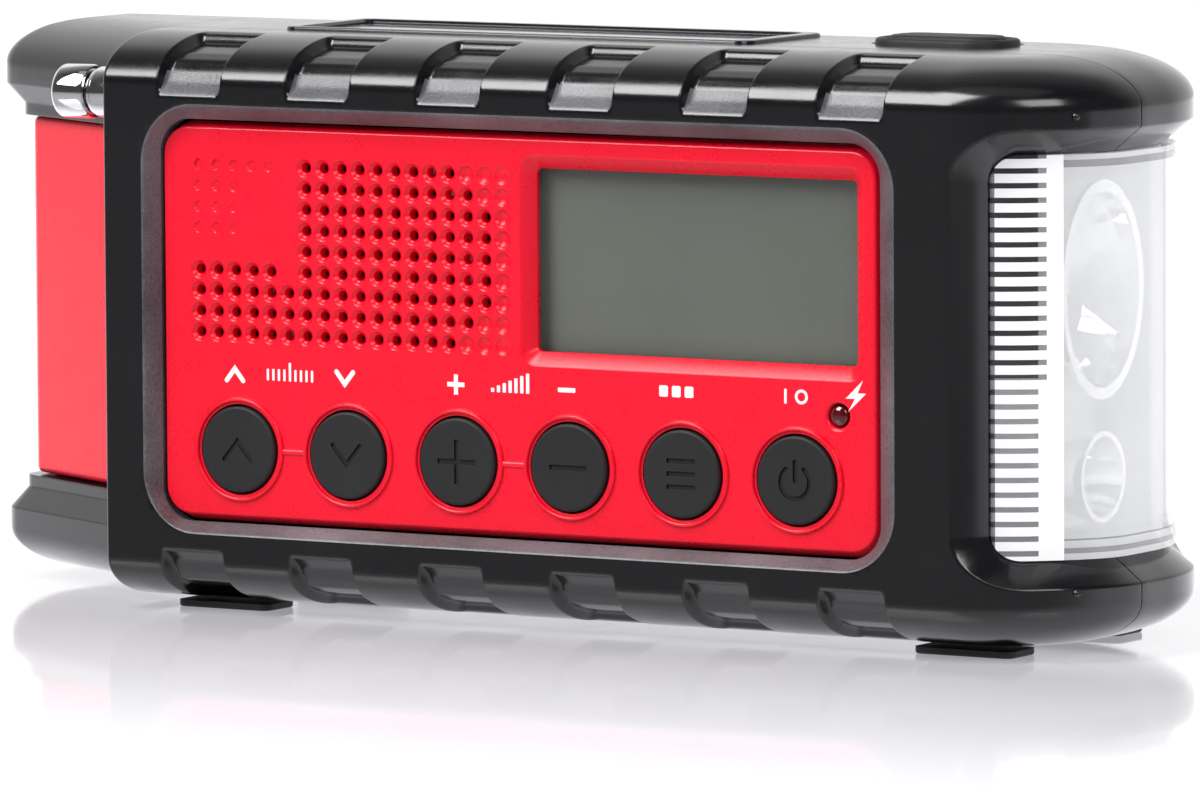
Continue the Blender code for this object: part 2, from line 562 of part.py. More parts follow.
# ---------------------------------------------------------------------- lamp
lens = ring_loft("lamp_lens", WHOLE, [(LENS_IN, LAMP_LO - 0.9), (LENS_IN, LAMP_HI + 0.9), (LENS_IN + LENS_T, LAMP_HI + 0.9),
                                      (LENS_IN + LENS_T, LAMP_LO - 0.9)], "clear_pc")
lens_reach = plate("lens_reach", [[(145.5, 2.0), (175.0, 2.0), (175.0, 55.0), (150.4, 55.0), (150.4, 30.0), (145.5, 12.0)]], -60, 60, normal="Z")
combine(lens, lens_reach, op="INTERSECT")

LAMP_D, LAMP_Z = 28.6, 9.5
RIM_X = 150.2                          # front rim of the reflector
bowl = turned("lamp_reflector", (0, LAMP_D, LAMP_Z), "X",
       [(2.4, 139.8), (6.6, 140.4), (11.4, 143.9), (14.4, 149.3), (15.6, 149.3), (15.6, RIM_X), (13.8, RIM_X), (10.4, 144.6),
        (6.0, 141.6), (2.4, 141.0), (2.4, 139.8)], 22, "chrome")
for v in bowl.data.vertices:           # oval outside its middle hole, to clear the rounded rear corner of the lens
    dy, dz = v.co.y - (LAMP_D - DEPTH / 2) * MM, v.co.z - (LAMP_Z - FOOT_Z) * MM
    if math.hypot(dy, dz) > 3 * MM:
        v.co.y -= dy * 0.237
turned("lamp_led", (0, LAMP_D, LAMP_Z), "X", [(0, 139.7), (1.9, 139.7), (1.9, 141.9), (1.3, 142.9), (0, 143.3)], 14, "led_white")
turned("beacon_reflector", (0, LAMP_D, -17.0), "X",
       [(0, 139.7), (4.0, 139.7), (6.5, 149.0), (6.5, RIM_X), (5.7, RIM_X), (3.2, 141.2), (0, 141.2)], 18, "chrome")
plate("lamp_board", [rrect(13.5, 46.0, -25.5, 28.0, 1.5, 2)], 137.8, 139.4, "white_pom", normal="X")

# ----------------------------------------------------------------- top pieces
plate("solar_panel", [rrect(SOLAR[0] + 0.3, SOLAR[1] - 0.3, 22.9, SOLAR[3] - 0.3, 1.0, 3)], TOP_Z - 1.6, TOP_Z - 0.1, "solar_cell", normal="Z")
bezel = plate("lamp_switch_bezel", [rrect(SWITCH[0] + 0.3, SWITCH[1] - 0.3, SWITCH[2] + 0.3, SWITCH[3] - 0.3, 5.6, 6),
                                    rrect(SWITCH[0] + 2.0, SWITCH[1] - 2.0, SWITCH[2] + 2.0, SWITCH[3] - 2.0, 3.9, 6)[::-1]],
              TOP_Z - 1.6, TOP_Z + 0.9, "black_rubber", normal="Z")
button = plate("lamp_switch_button", [rrect(SWITCH[0] + 2.3, SWITCH[1] - 2.3, SWITCH[2] + 2.3, SWITCH[3] - 2.3, 3.6, 6)],
               TOP_Z - 2.6, TOP_Z + 1.3, "black_rubber", normal="Z", origin=((SWITCH[0] + SWITCH[1]) / 2, (SWITCH[2] + SWITCH[3]) / 2, TOP_Z))
foot_of_button = plate("switch_flange", [rrect(SWITCH[0] + 1.2, SWITCH[1] - 1.2, SWITCH[2] + 1.2, SWITCH[3] - 1.2, 4.6, 6)],
                       TOP_Z - 3.4, TOP_Z - 2.1, normal="Z")
join(button, foot_of_button)
board2 = box("lamp_switch_board", 109.5, 133.5, 28.0, 42.0, TOP_Z - 8.4, TOP_Z - 6.8, "pcb")
join(board2, box("lamp_switch_body", 118.0, 125.0, 31.5, 38.5, TOP_Z - 7.2, TOP_Z - 4.5))

# ---------------------------------------------------------- crank and gearing
PLATE_D = (31.0, 33.0)
gear_plate = plate("gear_plate", [rrect(62.5, 124.0, -33.5, 25.0, 4.0, 3), circle(CRANK_X, CRANK_Z, 3.3, 20)[::-1],
                                  circle(IDLER_X, IDLER_Z, 1.8, 16)[::-1], circle(GEN_X, GEN_Z, 4.0, 20)[::-1]],
                   *PLATE_D, "steel")
posts = [rod("plate_post_%d" % k, (x, 38.9, z), "Y", 2.2, 12.0, 12) for k, (x, z) in enumerate([(119.3, 19.6), (120.5, -17.3), (96.0, -27.2)])]
join(gear_plate, *posts)

crank_origin = (CRANK_X, DISH_D, CRANK_Z)
plate("drive_gear", [gear(CRANK_X, CRANK_Z, DRIVE_T, math.pi), circle(CRANK_X, CRANK_Z, 3.3, 20)[::-1]], 39.9, 43.9,
              "white_pom", origin=crank_origin)
turned("crank_shaft", (CRANK_X, 0, CRANK_Z), "Y",
       [(0, 50.6), (2.1, 50.6), (2.1, 47.0), (3.0, 47.0), (3.0, 30.2), (0, 30.2)], 20, "steel", origin=crank_origin)

arm = plate("crank_arm", [rrect(GRIP_PIVOT_X - 4.2, CRANK_X + 7.5, CRANK_Z - 6.2, CRANK_Z + 6.2, 6.1, 6),
                          circle(CRANK_X, CRANK_Z, 2.4, 20)[::-1]], 47.25, 50.0, "black_abs", origin=crank_origin)
cheeks = []
for side in (-1, 1):
    zc = CRANK_Z + side * 4.9
    ear = [(GRIP_PIVOT_X - 3.3, 49.0), (GRIP_PIVOT_X + 3.3, 49.0), (GRIP_PIVOT_X + 3.3, GRIP_D + 0.4), (GRIP_PIVOT_X + 2.2, GRIP_D + 2.5),
           (GRIP_PIVOT_X, GRIP_D + 3.3), (GRIP_PIVOT_X - 2.2, GRIP_D + 2.5), (GRIP_PIVOT_X - 3.3, GRIP_D + 0.4)]
    cheeks.append(plate("grip_ear_%d" % side, [ear], zc - 1.2, zc + 1.2, normal="Z"))
join(arm, *cheeks)
combine(arm, rod("grip_pin_bore", (GRIP_PIVOT_X, GRIP_D, CRANK_Z), "Z", 1.35, 20, 16))
rod("grip_pin", (GRIP_PIVOT_X, GRIP_D, CRANK_Z), "Z", 1.0, 12.0, 16, "steel")

# spindle that folds, with the grip that turns on it
spindle = rod("grip_spindle", (GRIP_PIVOT_X, GRIP_D, CRANK_Z), "Z", 2.9, 6.6, 20, "steel", origin=(GRIP_PIVOT_X, GRIP_D, CRANK_Z))
join(spindle, rod("spindle_rod", (GRIP_PIVOT_X + 14.0, GRIP_D, CRANK_Z), "X", 1.5, 25.0, 14),
     rod("spindle_head", (GRIP_PIVOT_X + 26.4, GRIP_D, CRANK_Z), "X", 2.1, 1.2, 14))
combine(spindle, rod("spindle_pin_bore", (GRIP_PIVOT_X, GRIP_D, CRANK_Z), "Z", 1.35, 20, 16))
turned("crank_grip", (GRIP_PIVOT_X, GRIP_D, CRANK_Z), "X",
                [(1.85, 25.3), (3.0, 25.3), (3.5, 24.8), (3.5, 22.4), (3.1, 21.6), (3.1, 8.6), (3.5, 7.6), (3.5, 5.0), (3.0, 4.5), (1.85, 4.5), (1.85, 25.3)],
                16, "black_rubber", origin=(GRIP_PIVOT_X + 15.0, GRIP_D, CRANK_Z))

toward = math.pi / PINION_T
idler = plate("idler_gear", [gear(IDLER_X, IDLER_Z, IDLER_T, -math.pi / 2), circle(IDLER_X, IDLER_Z, 2.0, 16)[::-1]], 34.6, 37.4,
              "white_pom", origin=(IDLER_X, 38, IDLER_Z))
pin2 = plate("idler_pinion", [gear(IDLER_X, IDLER_Z, PINION_T, toward), circle(IDLER_X, IDLER_Z, 2.0, 16)[::-1]], 37.0, 44.2)
join(idler, pin2)
rod("idler_axle", (IDLER_X, 38.2, IDLER_Z), "Y", 1.5, 13.0, 16, "steel", origin=(IDLER_X, 38, IDLER_Z))

turned("generator_body", (GEN_X, 0, GEN_Z), "Y",
       [(1.2, 30.6), (3.6, 30.6), (3.6, 30.0), (12.0, 30.0), (12.0, 19.0), (1.2, 19.0), (1.2, 30.6)], 20, "steel")
gen = plate("generator_pinion", [gear(GEN_X, GEN_Z, PINION_T, math.pi / 2 + toward)], 34.0, 38.0, "brass", origin=(GEN_X, 36, GEN_Z))
join(gen, rod("generator_shaft", (GEN_X, 28.0, GEN_Z), "Y", 0.9, 19.6, 12))

# -------------------------------------------------------------------- battery
BX0, BX1, BD, BZ = -15.0, 50.0, 45.0, -1.0
turned("battery_cell", (0, BD, BZ), "X",
       [(0, BX1), (8.6, BX1), (9.0, BX1 - 0.4), (9.0, BX0 + 0.6), (8.6, BX0), (3.2, BX0), (3.2, BX0 - 1.2), (0, BX0 - 1.2)], 24, "battery_wrap")
for name, x in (("battery_contact_plus", BAT[0] + 0.4), ("battery_contact_minus", BAT[1] - 0.9)):
    box(name, x, x + 0.5, 37.0, 52.0, -7.0, 6.0, "brass")

# the door is hinged on its lower edge
HINGE_D, HINGE_Z = DEPTH - 1.3, DOOR[2] + 1.9
door = plate("battery_door", [rrect(DOOR[0] + 0.5, DOOR[1] - 0.5, DOOR[2] + 0.6, DOOR[3] - 0.5, 1.0, 2)], DEPTH - 2.4, DEPTH - 0.1, "black_abs",
             origin=(BAT[0] + 35, HINGE_D, HINGE_Z))
catch = box("door_catch", 13.0, 21.0, DEPTH - 4.6, DEPTH - 1.6, BAT[3] - 1.9, BAT[3] - 0.5)
grip_dent = box("door_dent", 11.0, 23.0, DEPTH - 0.9, DEPTH + 3, DOOR[3] - 5.4, DOOR[3] - 2.0)
join(door, catch)
combine(door, grip_dent)

# ---------------------------------------------------------------------- ports
out = box("usb_out_port", 58.8, 65.2, 45.0, 55.4, 0.6, 14.6, "steel")
combine(out, box("usb_out_mouth", 59.4, 64.6, 47.0, 60, 1.3, 13.9))
join(out, box("usb_out_tongue", 60.4, 62.0, 46.5, 54.0, 2.2, 13.0))
inp = box("usb_in_port", 60.4, 63.4, 47.0, 55.4, -12.6, -4.6, "steel", bevel=0.5)
combine(inp, box("usb_in_mouth", 61.0, 62.8, 49.0, 60, -12.0, -5.2))
p0 = grow(PORT, 1.0)
flap = plate("port_cover", [rrect(p0[0], p0[1], p0[2], p0[3], 1.8, 3)], DEPTH - 1.6, DEPTH - 0.1, "black_rubber",
             origin=(p0[0], DEPTH - 0.1, 0))
combine(flap, box("flap_nail_dent", p0[1] - 2.4, p0[1] + 2, DEPTH - 0.7, DEPTH + 2, -2.5, 3.5))
box("port_board", 57.0, 58.4, 38.0, 52.2, -15.0, 16.0, "pcb")

# --------------------------------------------------------------------- screws
for k, (x, z) in enumerate(SCREW_XZ):
    turned("case_screw_%d" % (k + 1), (x, 0, z), "Y", [(0, 55.8), (2.2, 56.6), (2.7, 56.2), (2.7, 55.4), (1.25, 55.3), (1.25, 24.0), (0, 23.2)], 12, "steel")

# ----------------------------------------------------------------------- feet
FEET = [("foot_front_left", 14.0, 9.2), ("foot_front_right", 138.0, 9.2), ("foot_rear_left", 14.0, 40.8), ("foot_rear_right", 138.0, 40.8)]
for name, x, d in FEET:
    box(name, x - 8.0, x + 8.0, d, d + 8.0, FOOT_Z, BOTTOM_Z - GAP, "black_rubber", taper=None)
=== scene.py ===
"""Looks of the wind-up emergency radio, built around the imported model.

Sizes are in the layout millimetres of the part: x along the front, d depth from
the flat front face, z above the bottom row of speaker holes. at() turns them
into world metres.
"""
import math

import bmesh
import bpy
import numpy as np
from mathutils import Matrix, Vector

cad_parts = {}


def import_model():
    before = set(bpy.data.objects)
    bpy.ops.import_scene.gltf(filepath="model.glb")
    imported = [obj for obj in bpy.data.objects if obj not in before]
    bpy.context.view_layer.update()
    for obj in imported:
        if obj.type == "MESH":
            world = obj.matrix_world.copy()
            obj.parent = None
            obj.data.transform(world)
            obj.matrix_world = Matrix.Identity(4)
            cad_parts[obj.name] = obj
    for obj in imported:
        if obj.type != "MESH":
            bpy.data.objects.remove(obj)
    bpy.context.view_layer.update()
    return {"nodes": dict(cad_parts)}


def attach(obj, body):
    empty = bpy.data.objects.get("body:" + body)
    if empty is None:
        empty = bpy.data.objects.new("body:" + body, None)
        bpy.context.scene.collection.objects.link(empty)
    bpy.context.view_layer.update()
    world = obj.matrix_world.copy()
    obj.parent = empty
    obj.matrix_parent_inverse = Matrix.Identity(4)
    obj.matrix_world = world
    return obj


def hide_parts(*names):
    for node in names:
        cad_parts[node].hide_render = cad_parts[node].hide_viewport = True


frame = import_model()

NODES = frame["nodes"]
SCENE = bpy.context.scene
MM = 0.001

# ------------------------------------------------------------------ dimensions
X_MID, DEPTH, FOOT_Z = 61.5, 58.0, -41.2
TOP_Z, BOTTOM_Z = 43.0, -39.9
LIP_TOP, LIP_BOTTOM, SHOULDER_IN = 36.1, -33.3, 15.0
LEFT_X, RIGHT_X, SEAM_D, GAP = -38.0, 161.0, 20.0, 0.3
CORNER, REAR_R = 22.0, 30.0              # plan radii at the lamp end, front and rear
PANEL = (8.9, 129.0, -27.5, 30.6)
PANEL_D, PANEL_R = 2.8, 4.6
FRAME_OPEN = (6.9, 132.2, -29.1, 33.0)
PITCH, HOLE_X0 = 3.05, 14.8
LCD = (71.6, 125.2, -0.6, 25.6)
BUTTON_X0, BUTTON_DX, BUTTON_Z = 21.62, 18.72, -16.88
LED_X, LED_Z = 121.9, -7.5
ANT_D, ANT_Z = 10.0, 33.8
CRANK_X, CRANK_Z, DISH_R, DISH_D = 100.0, 2.0, 31.5, 46.9
GRIP_PIVOT_X, GRIP_D = 75.0, 54.1
LENS_IN, LENS_T, LAMP_LO, LAMP_HI = 4.6, 2.2, -27.1, 29.9
RED_IN, RED_T, RED_LO, RED_HI = 4.1, 2.4, -25.5, 28.3
BAT = (-18.0, 52.0, -13.0, 11.0)
DOOR = (-20.6, 54.6, -16.4, 13.6)
PORT = (58.2, 65.6, -14.5, 15.5)
SOLAR = (20.0, 94.0, 22.6, 41.0)
SWITCH = (110.5, 132.5, 28.5, 41.5)
SCREWS = [(58.0, 27.0), (58.0, -24.0), (130.6, 27.3), (130.6, -23.8)]
NOTCH_X, NOTCH_W, NOTCH_PITCH = 9.4, 11.2, 22.1
LAMP_D, LAMP_Z, RIM_X = 28.6, 9.5, 150.2


def at(x, d, z):
    return Vector(((x - X_MID) * MM, (d - DEPTH / 2) * MM, (z - FOOT_Z) * MM))


def grow(rect, g):
    return rect[0] - g, rect[1] + g, rect[2] - g, rect[3] + g


def world(points):
    """Layout points (n, 3) in millimetres to world metres."""
    p = np.asarray(points, float)
    return (p - np.array([X_MID, DEPTH / 2, FOOT_Z])) * MM


# ------------------------------------------------------------------- materials
class Nodes:
    """A small helper to write a node tree briefly."""

    def __init__(self, mat):
        self.tree = mat.node_tree
        self.shader = self.tree.nodes["Principled BSDF"]
        self.out = self.tree.nodes["Material Output"]
        self.coord = self.tree.nodes.new("ShaderNodeTexCoord")

    def new(self, kind, **values):
        node = self.tree.nodes.new(kind)
        for key, value in values.items():
            if hasattr(node, key):
                setattr(node, key, value)
            else:
                node.inputs[key.replace("_", " ")].default_value = value
        return node

    def link(self, a, b):
        self.tree.links.new(a, b)

    def noise(self, scale, detail=2.0, rough=0.5, stretch=None, source="Object"):
        node = self.new("ShaderNodeTexNoise")
        node.inputs["Scale"].default_value = scale
        node.inputs["Detail"].default_value = detail
        node.inputs["Roughness"].default_value = rough
        out = self.coord.outputs[source]
        if stretch:
            mapping = self.new("ShaderNodeMapping")
            mapping.inputs["Scale"].default_value = stretch
            self.link(out, mapping.inputs["Vector"])
            out = mapping.outputs["Vector"]
        self.link(out, node.inputs["Vector"])
        return node.outputs["Fac"]

    def ramp(self, fac, stops, interpolation="LINEAR"):
        node = self.new("ShaderNodeValToRGB")
        node.color_ramp.interpolation = interpolation
        while len(node.color_ramp.elements) < len(stops):
            node.color_ramp.elements.new(0.5)
        for element, (place, colour) in zip(node.color_ramp.elements, stops):
            element.position = place
            element.color = (*colour, 1.0) if len(colour) == 3 else colour
        self.link(fac, node.inputs["Fac"])
        return node.outputs["Color"]

    def span(self, fac, lo, hi, a=0.0, b=1.0):
        node = self.new("ShaderNodeMapRange")
        for i, value in enumerate((a, b, lo, hi)):
            node.inputs[i + 1].default_value = value
        self.link(fac, node.inputs[0])
        return node.outputs[0]

    def math(self, op, a, b=None, clamp=False):
        node = self.new("ShaderNodeMath")
        node.operation = op
        node.use_clamp = clamp
        for i, value in enumerate((a, b)):
            if value is None:
                continue
            if isinstance(value, (int, float)):
                node.inputs[i].default_value = value
            else:
                self.link(value, node.inputs[i])
        return node.outputs[0]

    def bump(self, height, distance, strength=1.0, normal=None):
        node = self.new("ShaderNodeBump")
        node.inputs["Strength"].default_value = strength
        node.inputs["Distance"].default_value = distance
        self.link(height, node.inputs["Height"])
        if normal is not None:
            self.link(normal, node.inputs["Normal"])
        return node.outputs["Normal"]

    def soft_edges(self, radius, samples=4):
        node = self.new("ShaderNodeBevel")
        node.samples = samples
        node.inputs["Radius"].default_value = radius
        return node.outputs["Normal"]


def base_material(name, rough, metal=0.0, **sockets):
    mat = bpy.data.materials.new(name)
    mat.use_nodes = True
    shader = mat.node_tree.nodes["Principled BSDF"]
    shader.inputs["Roughness"].default_value = rough
    shader.inputs["Metallic"].default_value = metal
    for key, value in sockets.items():
        shader.inputs[key.replace("_", " ")].default_value = value
    return mat, Nodes(mat)


def moulded(name, dark, light, rough, grain, grain_scale, edge=0.0, wobble=0.0, **sockets):
    """Moulded plastic or rubber: two shades, fine grain in the bump, uneven gloss."""
    mat, n = base_material(name, rough, **sockets)
    cloud = n.noise(60, 3, 0.55)
    speck = n.noise(grain_scale * 0.7, 2, 0.6)
    both = n.math("ADD", n.math("MULTIPLY", cloud, 0.6), n.math("MULTIPLY", speck, 0.4))
    n.link(n.ramp(both, [(0.32, dark), (0.70, light)]), n.shader.inputs["Base Color"])
    n.link(n.span(n.math("ADD", n.math("MULTIPLY", n.noise(220, 4, 0.6), 0.5), n.math("MULTIPLY", speck, 0.5)),
                  rough - 0.05, rough + 0.06, 0.3, 0.7), n.shader.inputs["Roughness"])
    normal = n.soft_edges(edge * MM) if edge else None
    if wobble:
        normal = n.bump(n.noise(70, 1, 0.4), wobble * MM, 1.0, normal)
    n.link(n.bump(n.noise(grain_scale, 2, 0.55), grain * MM, 1.0, normal), n.shader.inputs["Normal"])
    return mat


def metal(name, dark, light, rough, brushed=None, edge=0.0, **sockets):
    mat, n = base_material(name, rough, 1.0, **sockets)
    n.link(n.ramp(n.noise(90, 3, 0.6), [(0.35, dark), (0.65, light)]), n.shader.inputs["Base Color"])
    streak = n.noise(900, 3, 0.6, brushed) if brushed else n.noise(700, 3, 0.6)
    n.link(n.span(streak, max(rough - 0.03, 0.02), rough + 0.05, 0.3, 0.7), n.shader.inputs["Roughness"])
    normal = n.soft_edges(edge * MM) if edge else None
    n.link(n.bump(streak, 0.004 * MM, 0.6, normal), n.shader.inputs["Normal"])
    return mat


MAT = {}
MAT["case"] = moulded("case_satin", (0.0036, 0.0036, 0.0044), (0.0058, 0.0058, 0.0068), 0.17, 0.005, 5200, edge=0.22,
                      Specular_IOR_Level=0.70)
# ledge faces: the sparkling grain is the real texture, and the pale grey base colour paints the glare that the textured
# top ledges and the panel slope catch
MAT["ledge"] = moulded("case_spark", (0.030, 0.030, 0.036), (0.150, 0.150, 0.165), 0.40, 0.060, 3200, edge=0.15,
                       Specular_IOR_Level=0.9)
MAT["rear"] = moulded("rear_satin", (0.0048, 0.0048, 0.0056), (0.0075, 0.0073, 0.0084), 0.15, 0.004, 4400, edge=0.22,
                      Specular_IOR_Level=0.6)
MAT["red"] = moulded("red_gloss", (0.74, 0.0012, 0.0170), (0.82, 0.0018, 0.0240), 0.29, 0.0025, 3000, edge=0.06,
                     Specular_IOR_Level=0.40)
MAT["rubber"] = moulded("button_rubber", (0.0100, 0.0105, 0.0115), (0.0150, 0.0155, 0.0165), 0.55, 0.008, 4600, edge=0.08,
                        Specular_IOR_Level=0.35)
MAT["icon_dark"] = moulded("engraved_dark", (0.0010, 0.0010, 0.0014), (0.0024, 0.0024, 0.0030), 0.65, 0.006, 4600)
MAT["white_ink"] = moulded("printed_white", (0.80, 0.79, 0.79), (0.90, 0.89, 0.89), 0.45, 0.002, 5000)
MAT["red_ink"] = moulded("printed_red", (0.50, 0.006, 0.012), (0.62, 0.010, 0.020), 0.45, 0.002, 5000)
MAT["white"] = moulded("white_plastic", (0.78, 0.78, 0.78), (0.88, 0.88, 0.87), 0.35, 0.004, 2400, edge=0.1)
MAT["chrome"] = metal("chrome_tube", (0.86, 0.86, 0.88), (0.95, 0.95, 0.96), 0.05, (0.05, 1.0, 1.0), edge=0.12)
MAT["mirror"] = metal("reflector_chrome", (0.90, 0.90, 0.91), (0.97, 0.97, 0.97), 0.04)
MAT["steel"] = metal("brushed_steel", (0.42, 0.42, 0.44), (0.60, 0.60, 0.61), 0.30, (0.08, 1.0, 1.0), edge=0.1)
MAT["brass"] = metal("brass", (0.52, 0.35, 0.11), (0.68, 0.49, 0.18), 0.28)


def clear_plastic(name, low, high, alpha, rough, bump_scale, bump):
    """Thin clear plastic: mostly see-through, with a body colour of its own, pale for the clear lens; the other lens
    copies use it as painted white glare, painted dark stripes and painted grey of refraction.
    """
    mat, n = base_material(name, rough, 0.0, Alpha=alpha, Specular_IOR_Level=0.9)
    n.link(n.ramp(n.noise(120, 2, 0.5), [(0.3, low), (0.7, high)]), n.shader.inputs["Base Color"])
    n.link(n.span(n.noise(300, 3, 0.6), max(rough - 0.02, 0.0), rough + 0.03, 0.3, 0.7), n.shader.inputs["Roughness"])
    n.link(n.bump(n.noise(bump_scale, 2, 0.5), bump * MM, 1.0), n.shader.inputs["Normal"])
    return mat


MAT["lens"] = clear_plastic("clear_lens", (0.90, 0.91, 0.93), (0.95, 0.955, 0.965), 0.42, 0.06, 350, 0.004)
# painted light: the next three copies give the white glare, the dark stripes and the grey that refraction through the
# ribbed lens shows, set as body colours
MAT["lens_painted_glare"] = clear_plastic("clear_lens_rib", (0.95, 0.95, 0.96), (0.97, 0.97, 0.98), 0.90, 0.10, 350, 0.004)
MAT["lens_painted_dark"] = clear_plastic("clear_lens_groove", (0.012, 0.012, 0.015), (0.022, 0.022, 0.026), 0.90, 0.12, 350, 0.004)
MAT["lens_painted_grey"] = clear_plastic("clear_lens_edge", (0.22, 0.22, 0.24), (0.30, 0.30, 0.32), 0.60, 0.10, 350, 0.004)


def lcd_pane():
    mat, n = base_material("lcd_pane", 0.06, 0.0, Alpha=0.16, Specular_IOR_Level=0.5)
    n.link(n.ramp(n.noise(40, 2, 0.5), [(0.3, (0.05, 0.06, 0.055)), (0.7, (0.09, 0.10, 0.09))]), n.shader.inputs["Base Color"])
    n.link(n.span(n.noise(500, 3, 0.6), 0.04, 0.09, 0.3, 0.7), n.shader.inputs["Roughness"])
    return mat


def lcd_face():
    """Grey-green reflective display with its fine pixel grid."""
    mat, n = base_material("lcd_face", 0.42, 0.0, Specular_IOR_Level=0.35)
    cloud = n.noise(25, 3, 0.5)
    n.link(n.ramp(cloud, [(0.30, (0.175, 0.190, 0.160)), (0.70, (0.205, 0.215, 0.190))]), n.shader.inputs["Base Color"])
    grid = n.new("ShaderNodeTexWave")
    grid.wave_type = "BANDS"
    grid.inputs["Scale"].default_value = 500
    n.link(n.coord.outputs["Object"], grid.inputs["Vector"])
    n.link(n.bump(grid.outputs["Fac"], 0.002 * MM, 0.4), n.shader.inputs["Normal"])
    return mat


MAT["pane"] = lcd_pane()
MAT["lcd"] = lcd_face()


def board_material(name, dark, light):
    mat, n = base_material(name, 0.42, 0.0, Specular_IOR_Level=0.5)
    cells = n.new("ShaderNodeTexVoronoi")
    cells.feature = "DISTANCE_TO_EDGE"
    cells.inputs["Scale"].default_value = 420
    n.link(n.coord.outputs["Object"], cells.inputs["Vector"])
    tracks = n.math("LESS_THAN", cells.outputs["Distance"], 0.055)
    n.link(n.ramp(tracks, [(0.0, dark), (1.0, light)], "CONSTANT"), n.shader.inputs["Base Color"])
    n.link(n.bump(tracks, 0.03 * MM, 0.7), n.shader.inputs["Normal"])
    return mat


MAT["board"] = board_material("circuit_board", (0.010, 0.085, 0.030), (0.030, 0.170, 0.060))


def solar_material():
    """Dark blue cells in strips, with thin silver fingers and bus bars."""
    mat, n = base_material("solar_cells", 0.12, 0.0, Specular_IOR_Level=0.5, Coat_Weight=0.6, Coat_Roughness=0.06)
    split = n.new("ShaderNodeSeparateXYZ")
    n.link(n.coord.outputs["Object"], split.inputs[0])
    x = n.math("MULTIPLY", split.outputs[0], 1 / MM)
    y = n.math("MULTIPLY", split.outputs[1], 1 / MM)
    fingers = n.math("LESS_THAN", n.math("PINGPONG", x, 0.60), 0.055)
    gaps = n.math("LESS_THAN", n.math("PINGPONG", n.math("ADD", x, 2.0), 6.05), 0.28)
    bars = n.math("LESS_THAN", n.math("PINGPONG", n.math("ADD", y, 0.8), 4.6), 0.30)
    silver = n.math("MAXIMUM", fingers, bars)
    crystal = n.new("ShaderNodeTexVoronoi")
    crystal.inputs["Scale"].default_value = 380
    n.link(n.coord.outputs["Object"], crystal.inputs["Vector"])
    blue = n.ramp(crystal.outputs["Distance"], [(0.0, (0.006, 0.010, 0.045)), (1.0, (0.016, 0.026, 0.095))])
    mix = n.new("ShaderNodeMix")
    mix.data_type = "RGBA"
    n.link(silver, mix.inputs[0])
    n.link(blue, mix.inputs[6])
    mix.inputs[7].default_value = (0.42, 0.43, 0.46, 1)
    mix2 = n.new("ShaderNodeMix")
    mix2.data_type = "RGBA"
    n.link(gaps, mix2.inputs[0])
    n.link(mix.outputs[2], mix2.inputs[6])
    mix2.inputs[7].default_value = (0.30, 0.31, 0.33, 1)
    n.link(mix2.outputs[2], n.shader.inputs["Base Color"])
    n.link(n.bump(silver, 0.01 * MM, 0.5), n.shader.inputs["Normal"])
    return mat


MAT["solar"] = solar_material()
MAT["paper"] = moulded("paper_cone", (0.018, 0.018, 0.018), (0.040, 0.038, 0.036), 0.85, 0.06, 900)
MAT["magnet"] = moulded("ferrite", (0.060, 0.060, 0.065), (0.110, 0.110, 0.115), 0.55, 0.02, 1500)
MAT["wrap"] = moulded("battery_wrap", (0.030, 0.110, 0.270), (0.045, 0.160, 0.360), 0.33, 0.01, 500, Coat_Weight=0.4)
MAT["led_white"] = moulded("led_white", (0.80, 0.72, 0.36), (0.92, 0.88, 0.60), 0.22, 0.004, 1500)


def led_red():
    mat, n = base_material("led_red", 0.08, 0.0, Specular_IOR_Level=0.7, Coat_Weight=0.6, Coat_Roughness=0.04)
    n.link(n.ramp(n.noise(700, 2, 0.5), [(0.3, (0.045, 0.001, 0.003)), (0.7, (0.10, 0.003, 0.006))]), n.shader.inputs["Base Color"])
    n.link(n.bump(n.noise(900, 2, 0.5), 0.01 * MM, 0.5), n.shader.inputs["Normal"])
    return mat


MAT["led_red"] = led_red()

# ----------------------------------------------------------------- mesh making
PIECES = bpy.data.collections.new("pieces")
SCENE.collection.children.link(PIECES)
TOOLS = bpy.data.collections.new("tools")
SCENE.collection.children.link(TOOLS)


def mesh_object(name, points_mm, faces, mats, smooth=32.0, tool=False, merge=0.0005, slots=None):
    """Object from layout points; mats is a list of material keys."""
    mesh = bpy.data.meshes.new(name)
    mesh.from_pydata(world(points_mm).tolist(), [], [list(map(int, f)) for f in faces])
    if slots is not None:
        mesh.polygons.foreach_set("material_index", np.asarray(slots, np.int32))
    bm = bmesh.new()
    bm.from_mesh(mesh)
    if merge:
        bmesh.ops.remove_doubles(bm, verts=bm.verts, dist=merge * MM)
    bmesh.ops.recalc_face_normals(bm, faces=bm.faces)
    bm.to_mesh(mesh)
    bm.free()
    for key in mats:
        mesh.materials.append(MAT[key])
    mesh.shade_smooth()
    mesh.set_sharp_from_angle(angle=math.radians(smooth))
    obj = bpy.data.objects.new(name, mesh)
    (TOOLS if tool else PIECES).objects.link(obj)
    return obj


def from_bm(name, bm, mats, smooth=32.0, tool=False):
    bmesh.ops.recalc_face_normals(bm, faces=bm.faces)
    mesh = bpy.data.meshes.new(name)
    bm.to_mesh(mesh)
    bm.free()
    for key in mats:
        mesh.materials.append(MAT[key])
    mesh.shade_smooth()
    mesh.set_sharp_from_angle(angle=math.radians(smooth))
    obj = bpy.data.objects.new(name, mesh)
    (TOOLS if tool else PIECES).objects.link(obj)
    return obj


